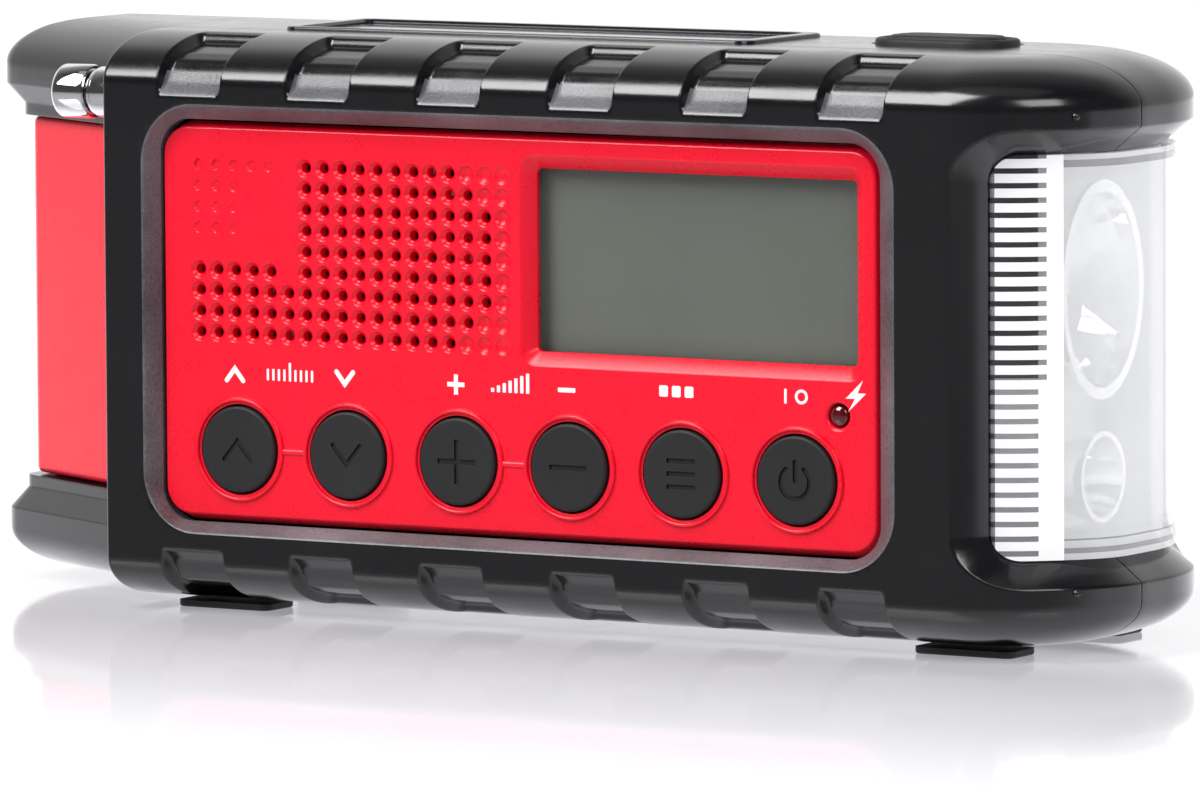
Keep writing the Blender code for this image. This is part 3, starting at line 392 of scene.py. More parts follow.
def bake(obj, smooth=32.0):
    """Applies the modifiers into the mesh."""
    bpy.context.view_layer.update()
    graph = bpy.context.evaluated_depsgraph_get()
    new = bpy.data.meshes.new_from_object(obj.evaluated_get(graph))
    new.name = obj.name
    old = obj.data
    obj.modifiers.clear()
    obj.data = new
    bpy.data.meshes.remove(old)
    new.shade_smooth()
    new.set_sharp_from_angle(angle=math.radians(smooth))
    return obj


def boolean(obj, cutters, op="DIFFERENCE", solver="MANIFOLD"):
    for cutter in cutters:
        mod = obj.modifiers.new(cutter.name, "BOOLEAN")
        mod.operation = op
        mod.solver = solver
        mod.object = cutter
    return obj


def drop(objs):
    for obj in objs:
        mesh = obj.data
        bpy.data.objects.remove(obj, do_unlink=True)
        bpy.data.meshes.remove(mesh)


def rrect(x0, x1, z0, z1, r, n=8):
    pts = []
    for cx, cz, start in ((x1 - r, z1 - r, 0), (x0 + r, z1 - r, 90), (x0 + r, z0 + r, 180), (x1 - r, z0 + r, 270)):
        for k in range(n + 1):
            a = math.radians(start + 90 * k / n)
            pts.append((cx + r * math.cos(a), cz + r * math.sin(a)))
    return pts


def circle(cx, cz, r, n=48, turn=0.0):
    return [(cx + r * math.cos(turn + 2 * math.pi * k / n), cz + r * math.sin(turn + 2 * math.pi * k / n)) for k in range(n)]


def bridge(rings, closed_ends=True, around=True):
    """Points and faces of a skin through rings of equal length."""
    m = len(rings[0])
    points = [p for ring in rings for p in ring]
    faces = []
    for i in range(len(rings) - 1):
        a, b = i * m, (i + 1) * m
        for k in range(m if around else m - 1):
            j = (k + 1) % m
            faces.append((a + k, a + j, b + j, b + k))
    if closed_ends:
        faces.append(tuple(range(m))[::-1])
        faces.append(tuple(range(len(points) - m, len(points))))
    return points, faces


def stack(name, sections, mats, normal="Y", **kw):
    """Loft through outlines [(loop, height)]: Y puts the loop in x, z and the height along d;
    Z puts it in x, d; X puts it in d, z."""
    order = {"Y": lambda a, b, h: (a, h, b), "Z": lambda a, b, h: (a, b, h), "X": lambda a, b, h: (h, a, b)}[normal]
    rings = [[order(a, b, h) for a, b in loop] for loop, h in sections]
    return mesh_object(name, *bridge(rings), mats, **kw)


def lathe(name, centre, axis, profile, mats, steps=64, smooth=32.0, slots=None, **kw):
    """Turned piece; profile is [(radius, distance along axis)], the first and last usually on the axis."""
    points, rings = [], []
    put = {"X": lambda r, t, c, s: (t, centre[0] + r * c, centre[1] + r * s),
           "Y": lambda r, t, c, s: (centre[0] + r * c, t, centre[1] + r * s),
           "Z": lambda r, t, c, s: (centre[0] + r * c, centre[1] + r * s, t)}[axis]
    for r, t in profile:
        if r <= 1e-6:
            points.append(put(0, t, 1, 0))
            rings.append([len(points) - 1])
        else:
            start = len(points)
            points += [put(r, t, math.cos(2 * math.pi * k / steps), math.sin(2 * math.pi * k / steps)) for k in range(steps)]
            rings.append(list(range(start, start + steps)))
    faces, index = [], []
    for i, (a, b) in enumerate(zip(rings, rings[1:])):
        for k in range(steps):
            j = (k + 1) % steps
            if len(a) == 1 and len(b) == 1:
                break
            if len(a) == 1:
                faces.append((a[0], b[k], b[j]))
            elif len(b) == 1:
                faces.append((a[k], a[j], b[0]))
            else:
                faces.append((a[k], a[j], b[j], b[k]))
            index.append(slots[i] if slots else 0)
    return mesh_object(name, points, faces, mats, smooth=smooth, slots=index if slots else None, **kw)


def arc(cx, cy, r, a0, a1, n):
    return [(cx + r * math.cos(math.radians(a0 + (a1 - a0) * k / n)), cy + r * math.sin(math.radians(a0 + (a1 - a0) * k / n)))
            for k in range(n + 1)]


def round_profile(pts, radii, n=4):
    """Rounds the corners of an open polyline; radii gives one radius per inner point."""
    out = [pts[0]]
    for i in range(1, len(pts) - 1):
        p, c, q = Vector(pts[i - 1]), Vector(pts[i]), Vector(pts[i + 1])
        r = radii[i - 1] if isinstance(radii, (list, tuple)) else radii
        u, v = (p - c), (q - c)
        lu, lv = u.length, v.length
        if r <= 0 or lu < 1e-9 or lv < 1e-9:
            out.append(tuple(c))
            continue
        u, v = u / lu, v / lv
        ang = math.acos(max(-1, min(1, u.dot(v))))
        if ang > math.pi - 0.02:
            out.append(tuple(c))
            continue
        t = min(r / math.tan(ang / 2), lu * 0.49, lv * 0.49)
        a, b = c + u * t, c + v * t
        for k in range(n + 1):
            f = k / n
            out.append(tuple(a * (1 - f) ** 2 + c * 2 * f * (1 - f) + b * f ** 2))
    out.append(pts[-1])
    return out


def put_on(obj, body, *nodes, slot=None):
    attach(obj, body)
    if nodes:
        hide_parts(*nodes)
    return obj


def paint(node, key):
    """Gives a CAD node that stays its own material."""
    obj = NODES[node]
    obj.data.materials.clear()
    obj.data.materials.append(MAT[key])


# ------------------------------------------------------- camera, lights, floor
def camera():
    """The photograph's viewing angle, a long lens with no shift and no depth of field."""
    data = bpy.data.cameras.new("camera")
    data.sensor_fit = "HORIZONTAL"
    data.sensor_width = 36.0
    data.lens = 334.30
    data.clip_start, data.clip_end = 0.05, 60.0
    cam = bpy.data.objects.new("camera", data)
    az, el, roll = math.radians(31.368756), math.radians(5.40317279), math.radians(-0.31232801)
    back = Vector((math.sin(az) * math.cos(el), -math.cos(az) * math.cos(el), math.sin(el)))
    right = Vector((math.cos(az), math.sin(az), 0.0))
    up = back.cross(right)
    c, s = math.cos(roll), math.sin(roll)
    r2, u2 = right * c + up * s, up * c - right * s
    place = Matrix((r2, u2, back)).transposed().to_4x4()
    place.translation = Vector((0.841845, -1.372057, 0.183187))
    cam.matrix_world = place
    SCENE.collection.objects.link(cam)
    SCENE.camera = cam


def softbox(name, azimuth, elevation, distance, width, height, power, target=(0.0, 0.0, 0.045), spread=180.0):
    """Rectangular area light; azimuth 0 is straight in front, positive to the right."""
    data = bpy.data.lights.new(name, "AREA")
    data.shape = "RECTANGLE"
    data.size, data.size_y = width, height
    data.energy = power
    data.spread = math.radians(spread)
    lamp = bpy.data.objects.new(name, data)
    a, e = math.radians(azimuth), math.radians(elevation)
    away = Vector((math.sin(a) * math.cos(e), -math.cos(a) * math.cos(e), math.sin(e)))
    lamp.location = Vector(target) + away * distance
    lamp.rotation_euler = away.to_track_quat("Z", "Y").to_euler()
    SCENE.collection.objects.link(lamp)
    return lamp


def studio():
    """White surround behind and to the sides, darker in front and overhead."""
    env = bpy.data.worlds.new("studio")
    SCENE.world = env
    env.use_nodes = True
    tree = env.node_tree
    tree.nodes.clear()
    new, link = tree.nodes.new, tree.links.new
    coord = new("ShaderNodeTexCoord")
    split = new("ShaderNodeSeparateXYZ")
    link(coord.outputs["Generated"], split.inputs[0])

    def ramp(source, stops):
        node = new("ShaderNodeValToRGB")
        node.color_ramp.interpolation = "EASE"
        while len(node.color_ramp.elements) < len(stops):
            node.color_ramp.elements.new(0.5)
        for element, (place, value) in zip(node.color_ramp.elements, stops):
            element.position = place
            element.color = (value, value, value, 1.0)
        link(source, node.inputs[0])
        return node.outputs[0]

    def calc(op, a, b):
        node = new("ShaderNodeMath")
        node.operation = op
        for i, v in enumerate((a, b)):
            if isinstance(v, (int, float)):
                node.inputs[i].default_value = v
            else:
                link(v, node.inputs[i])
        return node.outputs[0]

    # towards the back: 0 straight in front of the object, 1 straight behind it
    behind = calc("ADD", calc("MULTIPLY", calc("ADD", calc("MULTIPLY", split.outputs[1], 0.854),
                                               calc("MULTIPLY", split.outputs[0], -0.520)), 0.5), 0.5)
    height = calc("ADD", calc("MULTIPLY", split.outputs[2], 0.5), 0.5)
    back_part = ramp(behind, [(0.0, WORLD_FRONT), (0.48, WORLD_FRONT), (0.90, WORLD_BACK), (1.0, WORLD_BACK)])
    up_part = ramp(height, [(0.0, 1.0), (0.5, 1.0), (0.79, 0.86), (0.90, WORLD_UP), (1.0, WORLD_UP)])
    level = calc("MULTIPLY", back_part, up_part)
    path = new("ShaderNodeLightPath")
    mix = new("ShaderNodeMix")
    link(path.outputs["Is Camera Ray"], mix.inputs[0])
    link(level, mix.inputs[2])
    mix.inputs[3].default_value = 1.0
    shade = new("ShaderNodeBackground")
    shade.inputs["Color"].default_value = (1.0, 1.0, 1.0, 1.0)
    link(mix.outputs[0], shade.inputs["Strength"])
    out = new("ShaderNodeOutputWorld")
    link(shade.outputs[0], out.inputs[0])


WORLD_FRONT, WORLD_BACK, WORLD_UP = 0.06, 1.05, 0.30


def table():
    """Plain pale glossy table top."""
    mat, n = base_material("table_gloss", 0.07, 0.0, Specular_IOR_Level=0.5)
    n.shader.inputs["Emission Color"].default_value = (0.965, 0.955, 1.0, 1.0)
    n.link(n.ramp(n.noise(9, 2, 0.5), [(0.3, (0.31, 0.31, 0.32)), (0.7, (0.325, 0.325, 0.335))]), n.shader.inputs["Base Color"])
    # seen from the camera the sheet glows darker near the object and brighter in front: painted shade and reflection of
    # the object on the floor
    split = n.new("ShaderNodeSeparateXYZ")
    n.link(n.coord.outputs["Object"], split.inputs[0])
    away = n.span(split.outputs[1], 0.30, 1.0, -0.035, -0.20)
    path = n.new("ShaderNodeLightPath")
    glow = n.span(split.outputs[1], 0.0, 0.85, -0.06, 0.0)      # seen only in reflections, the sheet glows under and behind the object and is dark in front: a painted reflection source
    seen = n.math("MULTIPLY", away, path.outputs["Is Camera Ray"])
    mirrored = n.math("MULTIPLY", glow, path.outputs["Is Glossy Ray"])
    bounced = n.math("MULTIPLY", path.outputs["Is Diffuse Ray"], 0.55)
    n.link(n.math("MAXIMUM", n.math("MAXIMUM", seen, mirrored), bounced), n.shader.inputs["Emission Strength"])
    mat.cycles.emission_sampling = "NONE"
    n.link(n.span(n.noise(30, 2, 0.5), 0.05, 0.09, 0.3, 0.7), n.shader.inputs["Roughness"])
    mesh = bpy.data.meshes.new("table")
    bm = bmesh.new()
    bmesh.ops.create_grid(bm, x_segments=8, y_segments=8, size=1.6)
    bm.to_mesh(mesh)
    bm.free()
    mesh.materials.append(mat)
    obj = bpy.data.objects.new("table", mesh)
    obj.location = (0.0, 0.0, -0.00002)
    SCENE.collection.objects.link(obj)
    return obj


camera()
studio()
table()
KEY = softbox("key_left", -31, 45, 1.6, 0.80, 1.20, 34.0)
FILL = softbox("fill_right", 56, 36, 1.6, 0.75, 0.70, 9.0)
SIDE = softbox("side", 104, 24, 1.6, 0.9, 0.9, 20.0)
SIDE.visible_glossy = False             # lights the lamp window without a mirror image of itself
OVER = softbox("over", 10, 80, 1.5, 1.2, 0.7, 0.8)
SCENE.view_settings.view_transform = "Standard"
SCENE.cycles.max_bounces = 14
SCENE.cycles.transmission_bounces = 10
SCENE.cycles.transparent_max_bounces = 10


# ------------------------------------------------------------- case geometry
S0, S1 = 2.6, 71.0                     # lamp opening along the outline, from the front tangent point
OPEN_LO, OPEN_HI, OPEN_R = LAMP_LO - 3.4, LAMP_HI + 3.4, 7.2


NOTCH_TOP = round_profile([(0.0, 33.9), (0.0, 34.5), (1.9, 36.25), (2.95, 38.05), (4.1, 39.35), (6.2, 40.25), (9.0, 40.95), (11.1, 41.35),
                           (11.75, 42.55), (12.9, 42.93)], [0.35, 0.3, 0.6, 1.2, 2.0, 1.2, 1.3, 0.5], 5)


def resample(poly, n):
    p = np.array(poly, float)
    seg = np.hypot(*np.diff(p, axis=0).T)
    s = np.concatenate([[0], np.cumsum(seg)])
    t = np.linspace(0, s[-1], n)
    return np.column_stack([np.interp(t, s, p[:, 0]), np.interp(t, s, p[:, 1])])


def ellipse(a, top):
    """Point (inset, z) of the shoulder at angle a in degrees."""
    r = math.radians(a)
    if top:
        return SHOULDER_IN * (1 - math.cos(r)), LIP_TOP + (TOP_Z - LIP_TOP) * math.sin(r)
    return SHOULDER_IN * (1 - math.cos(r)), LIP_BOTTOM - (LIP_BOTTOM - BOTTOM_Z) * math.sin(r)


def level_table(notch_steps, dense):
    """Levels from bottom to top: plain (inset, z), and the same level inside a tread notch, with a flag for the ledge."""
    a_end = math.degrees(math.acos(1 - 12.9 / SHOULDER_IN))

    def zone(top):
        base = [(0.0, 33.9 if top else LIP_BOTTOM + (LIP_TOP - 33.9) * 0.9565), (0.0, LIP_TOP if top else LIP_BOTTOM)]
        base += [ellipse(a, top) for a in np.linspace(0, a_end, 60)[1:]]
        base = resample(base, notch_steps)
        notch = resample(NOTCH_TOP, notch_steps)
        if not top:
            notch = np.column_stack([notch[:, 0], LIP_BOTTOM - (notch[:, 1] - LIP_TOP) * 0.9565])
        notch[0], notch[-1] = base[0], base[-1]
        return base, notch

    tb, tn = zone(True)
    lb, ln = zone(False)
    rows = []
    for a in np.linspace(90, a_end, 5)[:-1]:
        rows.append((ellipse(a, False), ellipse(a, False), 0))
    for k in range(notch_steps - 1, -1, -1):
        rows.append((tuple(lb[k]), tuple(ln[k]), 0))
    wall = []
    z = lb[0][1]
    for stop, step in ((-27.0, dense), (-21.0, dense * 1.6), (24.0, 3.2), (30.2, dense * 1.6), (33.9, dense)):
        count = max(1, int(round((stop - z) / step)))
        wall += list(np.linspace(z, stop, count + 1)[1:])
        z = stop
    rows += [((0.0, float(z)), (0.0, float(z)), 0) for z in wall[:-1]]
    for k in range(notch_steps):
        # only the upward ledges of the top notches get the pale ledge material, which paints the glare they catch
        ledge = 1 if tn[k][1] > 34.55 and tn[k][0] < 2.75 and tn[k][0] > 0.03 else 0
        rows.append((tuple(tb[k]), tuple(tn[k]), ledge))
    for a in np.linspace(a_end, 90, 5)[1:]:
        rows.append((ellipse(a, True), ellipse(a, True), 0))
    return rows


def notch_weight(x):
    """1 inside a tread notch, 0 outside, with short steep walls between."""
    w = 0.0
    for k in range(6):
        x0 = NOTCH_X + k * NOTCH_PITCH
        x1 = x0 + NOTCH_W
        if x0 < x < x1:
            u = min((x - x0) / 0.95, (x1 - x) / 0.95, 1.0)
            w = u * u * (3 - 2 * u)
    return w


def front_shell():
    xs = set(np.round(np.arange(0.8, RIGHT_X - CORNER, 1.6), 3))
    for k in range(6):
        x0 = NOTCH_X + k * NOTCH_PITCH
        for edge, sign in ((x0, 1), (x0 + NOTCH_W, -1)):
            xs = {x for x in xs if not (edge - 0.4 < x < edge + 0.4 + sign * 0.8 or edge - 0.4 + sign * 0.8 < x < edge + 0.4)}
            xs |= {round(edge + sign * t, 3) for t in (-0.25, 0.0, 0.12, 0.24, 0.36, 0.48, 0.60, 0.72, 0.84, 0.95, 1.2)}
    for t in (0.0, 0.05, 0.12, 0.21, 0.32, 0.45, 0.6):
        xs.add(t)
    xs = sorted(xs)
    angles = list(np.linspace(0, 90, 64)[1:])
    rows = level_table(46, 0.34)
    rings, slots = [], []
    for (ins, z), (nins, nz), ledge in rows:
        ring = []
        for x in xs:
            w = notch_weight(x)
            i, zz = ins + (nins - ins) * w, z + (nz - z) * w
            if x < 0.6:                     # rounded left edge
                cut = 0.6 * (1 - math.sqrt(max(0.0, 1 - ((0.6 - x) / 0.6) ** 2)))
                i += cut * (1 - min(1.0, abs(i) / SHOULDER_IN))
            ring.append((x, i, zz))
        for th in angles:
            r = CORNER - ins
            ring.append((RIGHT_X - CORNER + r * math.sin(math.radians(th)), CORNER - r * math.cos(math.radians(th)), z))
        ring.append((RIGHT_X - ins, 27.0, z))
        ring.append((0.0, 27.0, z))
        rings.append(ring)
    m = len(rings[0])
    points, faces = bridge(rings)
    for i in range(len(rings) - 1):
        for k in range(m):
            x = rings[i][k][0] if k < len(xs) else 999
            on = rows[i][2] and rows[i + 1][2] and k < len(xs) - 1 and notch_weight(xs[k]) > 0.6 and notch_weight(xs[k + 1]) > 0.6
            slots.append(1 if on else 0)
    slots += [0, 0]
    return mesh_object("front_shell_skin", points, faces, ["case", "ledge"], slots=slots)


def frustum_tool(name, sections):
    """Cutter through rounded rectangles: [(rect, radius, d)]."""
    rings = [[(x, d, z) for x, z in rrect(*rect, r, 14)] for rect, r, d in sections]
    return mesh_object(name, *bridge(rings), ["ledge"], tool=True)


def box_tool(name, x0, x1, d0, d1, z0, z1):
    pts = [(x, d, z) for z in (z0, z1) for x, d in ((x0, d0), (x1, d0), (x1, d1), (x0, d1))]
    faces = [(0, 3, 2, 1), (4, 5, 6, 7), (0, 1, 5, 4), (1, 2, 6, 5), (2, 3, 7, 6), (3, 0, 4, 7)]
    return mesh_object(name, pts, faces, ["case"], tool=True)


def rod_tool(name, centre, axis, r, length, steps=48):
    c = {"X": (centre[1], centre[2]), "Y": (centre[0], centre[2]), "Z": (centre[0], centre[1])}[axis]
    mid = centre["XYZ".index(axis)]
    return lathe(name, c, axis, [(0, mid - length / 2), (r, mid - length / 2), (r, mid + length / 2), (0, mid + length / 2)], ["case"], steps, tool=True)


def corners_loop(corners, inset, steps=None):
    """A convex outline of (x, d, radius, steps) corners, moved inwards by inset."""
    n = len(corners)
    pts = []
    for i in range(n):
        px, pd = corners[i - 1][:2]
        cx, cd, r, st = corners[i]
        nx, nd = corners[(i + 1) % n][:2]
        u = Vector((cx - px, cd - pd)).normalized()
        v = Vector((nx - cx, nd - cd)).normalized()
        un, vn = Vector((-u.y, u.x)), Vector((-v.y, v.x))
        turn = math.acos(max(-1.0, min(1.0, u.dot(v))))
        corner = Vector((cx, cd)) + (un + vn) / (1 + un.dot(vn)) * inset
        rr = max(r - inset, 0.5)
        start = corner - u * rr * math.tan(turn / 2)
        centre = start + un * rr
        first = math.atan2(start.y - centre.y, start.x - centre.x)
        st = steps or st
        for k in range(st + 1):
            a = first + turn * k / st
            pts.append((centre.x + rr * math.cos(a), centre.y + rr * math.sin(a)))
    return pts


def shoulder_levels(lip_lo, lip_hi, bottom, top, reach, steps=6):
    levels = []
    for k in range(steps, 0, -1):
        a = math.radians(90.0 * k / steps)
        levels.append((lip_lo - (lip_lo - bottom) * math.sin(a), reach * (1 - math.cos(a))))
    levels += [(lip_lo, 0.0), (lip_hi, 0.0)]
    for k in range(1, steps + 1):
        a = math.radians(90.0 * k / steps)
        levels.append((lip_hi + (top - lip_hi) * math.sin(a), reach * (1 - math.cos(a))))
    return levels


def loft_tool(name, corners, levels, steps=None):
    rings = [[(x, d, z) for x, d in corners_loop(corners, inset, steps)] for z, inset in levels]
    return mesh_object(name, *bridge(rings), ["case"], tool=True)


WHOLE = [(17.0, 0.0, 6.0, 3), (RIGHT_X, 0.0, CORNER, 10), (RIGHT_X, DEPTH, REAR_R, 10),
         (LEFT_X, DEPTH, 11.0, 5), (LEFT_X, 29.1, 7.0, 4)]


# outline of the lamp end as a track: front straight, corner, side, corner, rear straight
def track(s, inset):
    """Point (x, d) at distance s along the outline from the front tangent point, moved in by inset."""
    a1, a2 = CORNER * math.pi / 2, REAR_R * math.pi / 2
    side = DEPTH - CORNER - REAR_R
    x0, x1 = RIGHT_X - CORNER, RIGHT_X - REAR_R
    if s < 0:
        return x0 + s, inset
    if s < a1:
        t = s / CORNER
        r = CORNER - inset
        return x0 + r * math.sin(t), CORNER - r * math.cos(t)
    if s < a1 + side:
        return RIGHT_X - inset, CORNER + (s - a1)
    if s < a1 + side + a2:
        t = (s - a1 - side) / REAR_R
        r = REAR_R - inset
        return x1 + r * math.cos(t), DEPTH - REAR_R + r * math.sin(t)
    return x1 - (s - a1 - side - a2), DEPTH - inset


def opening_loop(dist, n=12):
    """Loop in (s, z) at a given distance inside the opening's outer edge."""
    s_lo, s_hi = S0 + dist / 0.694, S1 - dist / 0.76
    r = max(OPEN_R - dist, 0.6)
    pts = []
    for cs, cz, start, k in ((s_hi - r / 0.76, OPEN_HI - dist - r, 0, 0.76), (s_lo + r / 0.694, OPEN_HI - dist - r, 90, 0.694),
                             (s_lo + r / 0.694, OPEN_LO + dist + r, 180, 0.694), (s_hi - r / 0.76, OPEN_LO + dist + r, 270, 0.76)):
        for j in range(n + 1):
            a = math.radians(start + 90 * j / n)
            pts.append((cs + r / k * math.cos(a), cz + r * math.sin(a)))
    return pts


def curved_plate(name, loop, inset0, inset1, mats, step=1.2, tool=False, steps_in=1, z_step=None, shape=None, smooth=32.0, tone=None):
    """A plate given by its outline in (s, z), cut into strips and wrapped round the track, from inset0 to inset1.
    shape(s, z, f) may return a further inset; f is 0 on the outer face and 1 on the inner face."""
    bm = bmesh.new()
    rings = []
    for f in range(steps_in + 1):
        rings.append([bm.verts.new((s, z, f / steps_in)) for s, z in loop])
    for a, b in zip(rings, rings[1:]):
        for k in range(len(a)):
            j = (k + 1) % len(a)
            bm.faces.new((a[k], a[j], b[j], b[k]))
    bm.faces.new(rings[0][::-1])
    bm.faces.new(rings[-1])
    lo = min(p[0] for p in loop)
    hi = max(p[0] for p in loop)
    cuts = [(Vector((s, 0, 0)), Vector((1, 0, 0))) for s in np.arange(lo + step * 0.5, hi, step)]
    if z_step:
        zlo = min(p[1] for p in loop)
        zhi = max(p[1] for p in loop)
        cuts += [(Vector((0, z, 0)), Vector((0, 1, 0))) for z in np.arange(zlo + z_step * 0.5, zhi, z_step)]
    for place, normal in cuts:
        bmesh.ops.bisect_plane(bm, geom=bm.verts[:] + bm.edges[:] + bm.faces[:], plane_co=place, plane_no=normal, dist=1e-5)
    if tone:
        for face in bm.faces:
            face.material_index = tone(*face.calc_center_bounds())
    for v in bm.verts:
        s, z, f = v.co
        inset = inset0 + (inset1 - inset0) * f + (shape(s, z, f) if shape else 0.0)
        x, d = track(s, inset)
        v.co = at(x, d, z)
    return from_bm(name, bm, mats, smooth=smooth, tool=tool)


def curved_loft(name, rings, mats, step=1.0, tool=False, smooth=32.0):
    """Like curved_plate, through rings [(loop, inset)] of equal length; the loops may differ."""
    bm = bmesh.new()
    made = [[bm.verts.new((s, z, inset)) for s, z in loop] for loop, inset in rings]
    for a, b in zip(made, made[1:]):
        for k in range(len(a)):
            j = (k + 1) % len(a)
            bm.faces.new((a[k], a[j], b[j], b[k]))
    bm.faces.new(made[0][::-1])
    bm.faces.new(made[-1])
    lo = min(p[0] for p in rings[0][0])
    hi = max(p[0] for p in rings[0][0])
    for s in np.arange(lo + step * 0.5, hi, step):
        bmesh.ops.bisect_plane(bm, geom=bm.verts[:] + bm.edges[:] + bm.faces[:], plane_co=(s, 0, 0), plane_no=(1, 0, 0), dist=1e-5)
    for v in bm.verts:
        x, d = track(v.co.x, v.co.z)
        v.co = at(x, d, v.co.y)
    return from_bm(name, bm, mats, smooth=smooth, tool=tool)


def lamp_window(name):
    """Cutter for the lamp opening: a slope all round, then straight through."""
    rings = [(opening_loop(-0.30), -1.2), (opening_loop(-0.30), 0.0), (opening_loop(-0.14), 0.035), (opening_loop(0.02), 0.13),
             (opening_loop(0.16), 0.29), (opening_loop(3.34), 4.20), (opening_loop(3.42), 4.36), (opening_loop(3.42), 9.5)]
    return curved_loft(name, rings, ["case"], tool=True)


def build_front_shell():
    shell = front_shell()
    outer, inner = FRAME_OPEN, (PANEL[0] - 0.35, PANEL[1], PANEL[2] - 0.1, PANEL[3] + 0.35)
    mix = lambda t: tuple(a + (b - a) * t for a, b in zip(outer, inner))
    sections = [(mix(-0.13), 8.8, -1.0), (mix(-0.13), 8.8, 0.0), (mix(-0.06), 8.6, 0.025), (mix(0.0), 8.4, 0.085), (mix(0.07), 8.2, 0.19), (mix(0.14), 7.95, 0.35),
                (mix(0.96), 5.15, 2.32), (mix(1.0), 5.0, 2.5), (grow(PANEL, 0.45), 5.0, 2.7), (grow(PANEL, 0.45), 5.0, 9.0)]
    cut_panel = frustum_tool("cut_panel", sections)
    hollow = loft_tool("cut_hollow", [(2.2, 5.0, 3.0, 2), (135.0, 5.0, 3.0, 2), (135.0, 60.0, 1.0, 1), (2.2, 60.0, 1.0, 1)],
                       shoulder_levels(-30.9, 33.7, -37.7, 40.8, 12.5, 4))
    rear_off = box_tool("cut_rear", -60, 200, SEAM_D, 90, -60, 60)
    bay = loft_tool("cut_bay", [(137.2, -30.0, 1.0, 1), (RIGHT_X - 6.6, -30.0, 1.0, 1), (RIGHT_X - 6.6, 80.0, 1.0, 1), (137.2, 80.0, 1.0, 1)], [(-37, 0), (40, 0)])
    rest = loft_tool("keep_bay", WHOLE, [(-37.0, 6.6), (40.0, 6.6)], steps=16)
    boolean(bay, [rest], "INTERSECT")
    window = lamp_window("cut_window")
    door = box_tool("cut_bay_door", 134, 138, 12, 90, -24, 27)
    ant = rod_tool("cut_antenna", (0, ANT_D, ANT_Z), "X", 3.85, 12, 40)
    boolean(shell, [hollow, rear_off, bay, window, door, ant, cut_panel])
    bake(shell)
    # the slope round the panel gets the ledge material: its sparkling grain, and the pale grey base colour that paints
    # the glare these slopes catch
    mesh = shell.data
    n = len(mesh.polygons)
    centre = np.empty(n * 3); mesh.polygons.foreach_get("center", centre)
    normal = np.empty(n * 3); mesh.polygons.foreach_get("normal", normal)
    slot = np.empty(n, np.int32); mesh.polygons.foreach_get("material_index", slot)
    c = centre.reshape(-1, 3) / MM + np.array([X_MID, DEPTH / 2, FOOT_Z])
    ny = np.abs(normal.reshape(-1, 3)[:, 1])
    x0, x1, z0, z1 = grow(FRAME_OPEN, 0.9)
    slope = (c[:, 0] > x0) & (c[:, 0] < x1) & (c[:, 2] > z0) & (c[:, 2] < z1) & (c[:, 1] > 0.01) & (c[:, 1] < 2.7) & (ny > 0.25) & (ny < 0.985)
    slot[slope] = 1
    slot[slot > 1] = 0
    mesh.polygons.foreach_set("material_index", slot)
    while len(mesh.materials) > 2:
        mesh.materials.pop()
    drop([hollow, rear_off, bay, rest, window, door, ant, cut_panel])
    return put_on(shell, "case", "front_shell", slot="black_plastic")


# ----------------------------------------------------------------- rear shell
def whole_columns():
    """Columns of the rear shell's outline: (kind, corner, fraction)."""
    cols = []
    arcs = [6, 44, 44, 24, 16]
    n = len(WHOLE)
    lines = {0: 10, 1: 4, 2: 60, 3: 6, 4: 20}
    for i in range(n):
        for k in range(arcs[i] + 1):
            cols.append(("arc", i, k / arcs[i]))
        for k in range(1, lines[i]):
            cols.append(("line", i, k / lines[i]))
    return cols


def arc_ends(i, inset):
    n = len(WHOLE)
    px, pd = WHOLE[i - 1][:2]
    cx, cd, r, _ = WHOLE[i]
    nx, nd = WHOLE[(i + 1) % n][:2]
    u = Vector((cx - px, cd - pd)).normalized()
    v = Vector((nx - cx, nd - cd)).normalized()
    un, vn = Vector((-u.y, u.x)), Vector((-v.y, v.x))
    turn = math.acos(max(-1.0, min(1.0, u.dot(v))))
    corner = Vector((cx, cd)) + (un + vn) / (1 + un.dot(vn)) * inset
    rr = max(r - inset, 0.5)
    start = corner - u * rr * math.tan(turn / 2)
    centre = start + un * rr
    first = math.atan2(start.y - centre.y, start.x - centre.x)
    return centre, rr, first, turn


def column_point(col, inset, cache):
    kind, i, f = col

    def arc_info(j):
        key = (j, round(inset, 6))
        if key not in cache:
            cache[key] = arc_ends(j, inset)
        return cache[key]

    centre, rr, first, turn = arc_info(i)
    if kind == "arc":
        a = first + turn * f
        return centre.x + rr * math.cos(a), centre.y + rr * math.sin(a)
    end = (centre.x + rr * math.cos(first + turn), centre.y + rr * math.sin(first + turn))
    c2, r2, f2, _ = arc_info((i + 1) % len(WHOLE))
    nxt = (c2.x + r2 * math.cos(f2), c2.y + r2 * math.sin(f2))
    return end[0] + (nxt[0] - end[0]) * f, end[1] + (nxt[1] - end[1]) * f


RED_PROFILE = round_profile([(0.0, 34.6), (0.0, RED_HI + 4.9), (2.7, RED_HI + 1.9), (2.7, RED_HI + 0.08), (6.8, RED_HI + 0.02)], [0.4, 0.35, 0.15], 4)


def red_inset(z):
    """Inset of the left block between its lips."""
    p = np.array(RED_PROFILE)
    zz = z if z > 1.4 else 2.8 - z
    order = p[:, 1].argsort()
    if zz < RED_HI:
        return 6.8
    return float(np.interp(zz, p[order, 1], p[order, 0]))


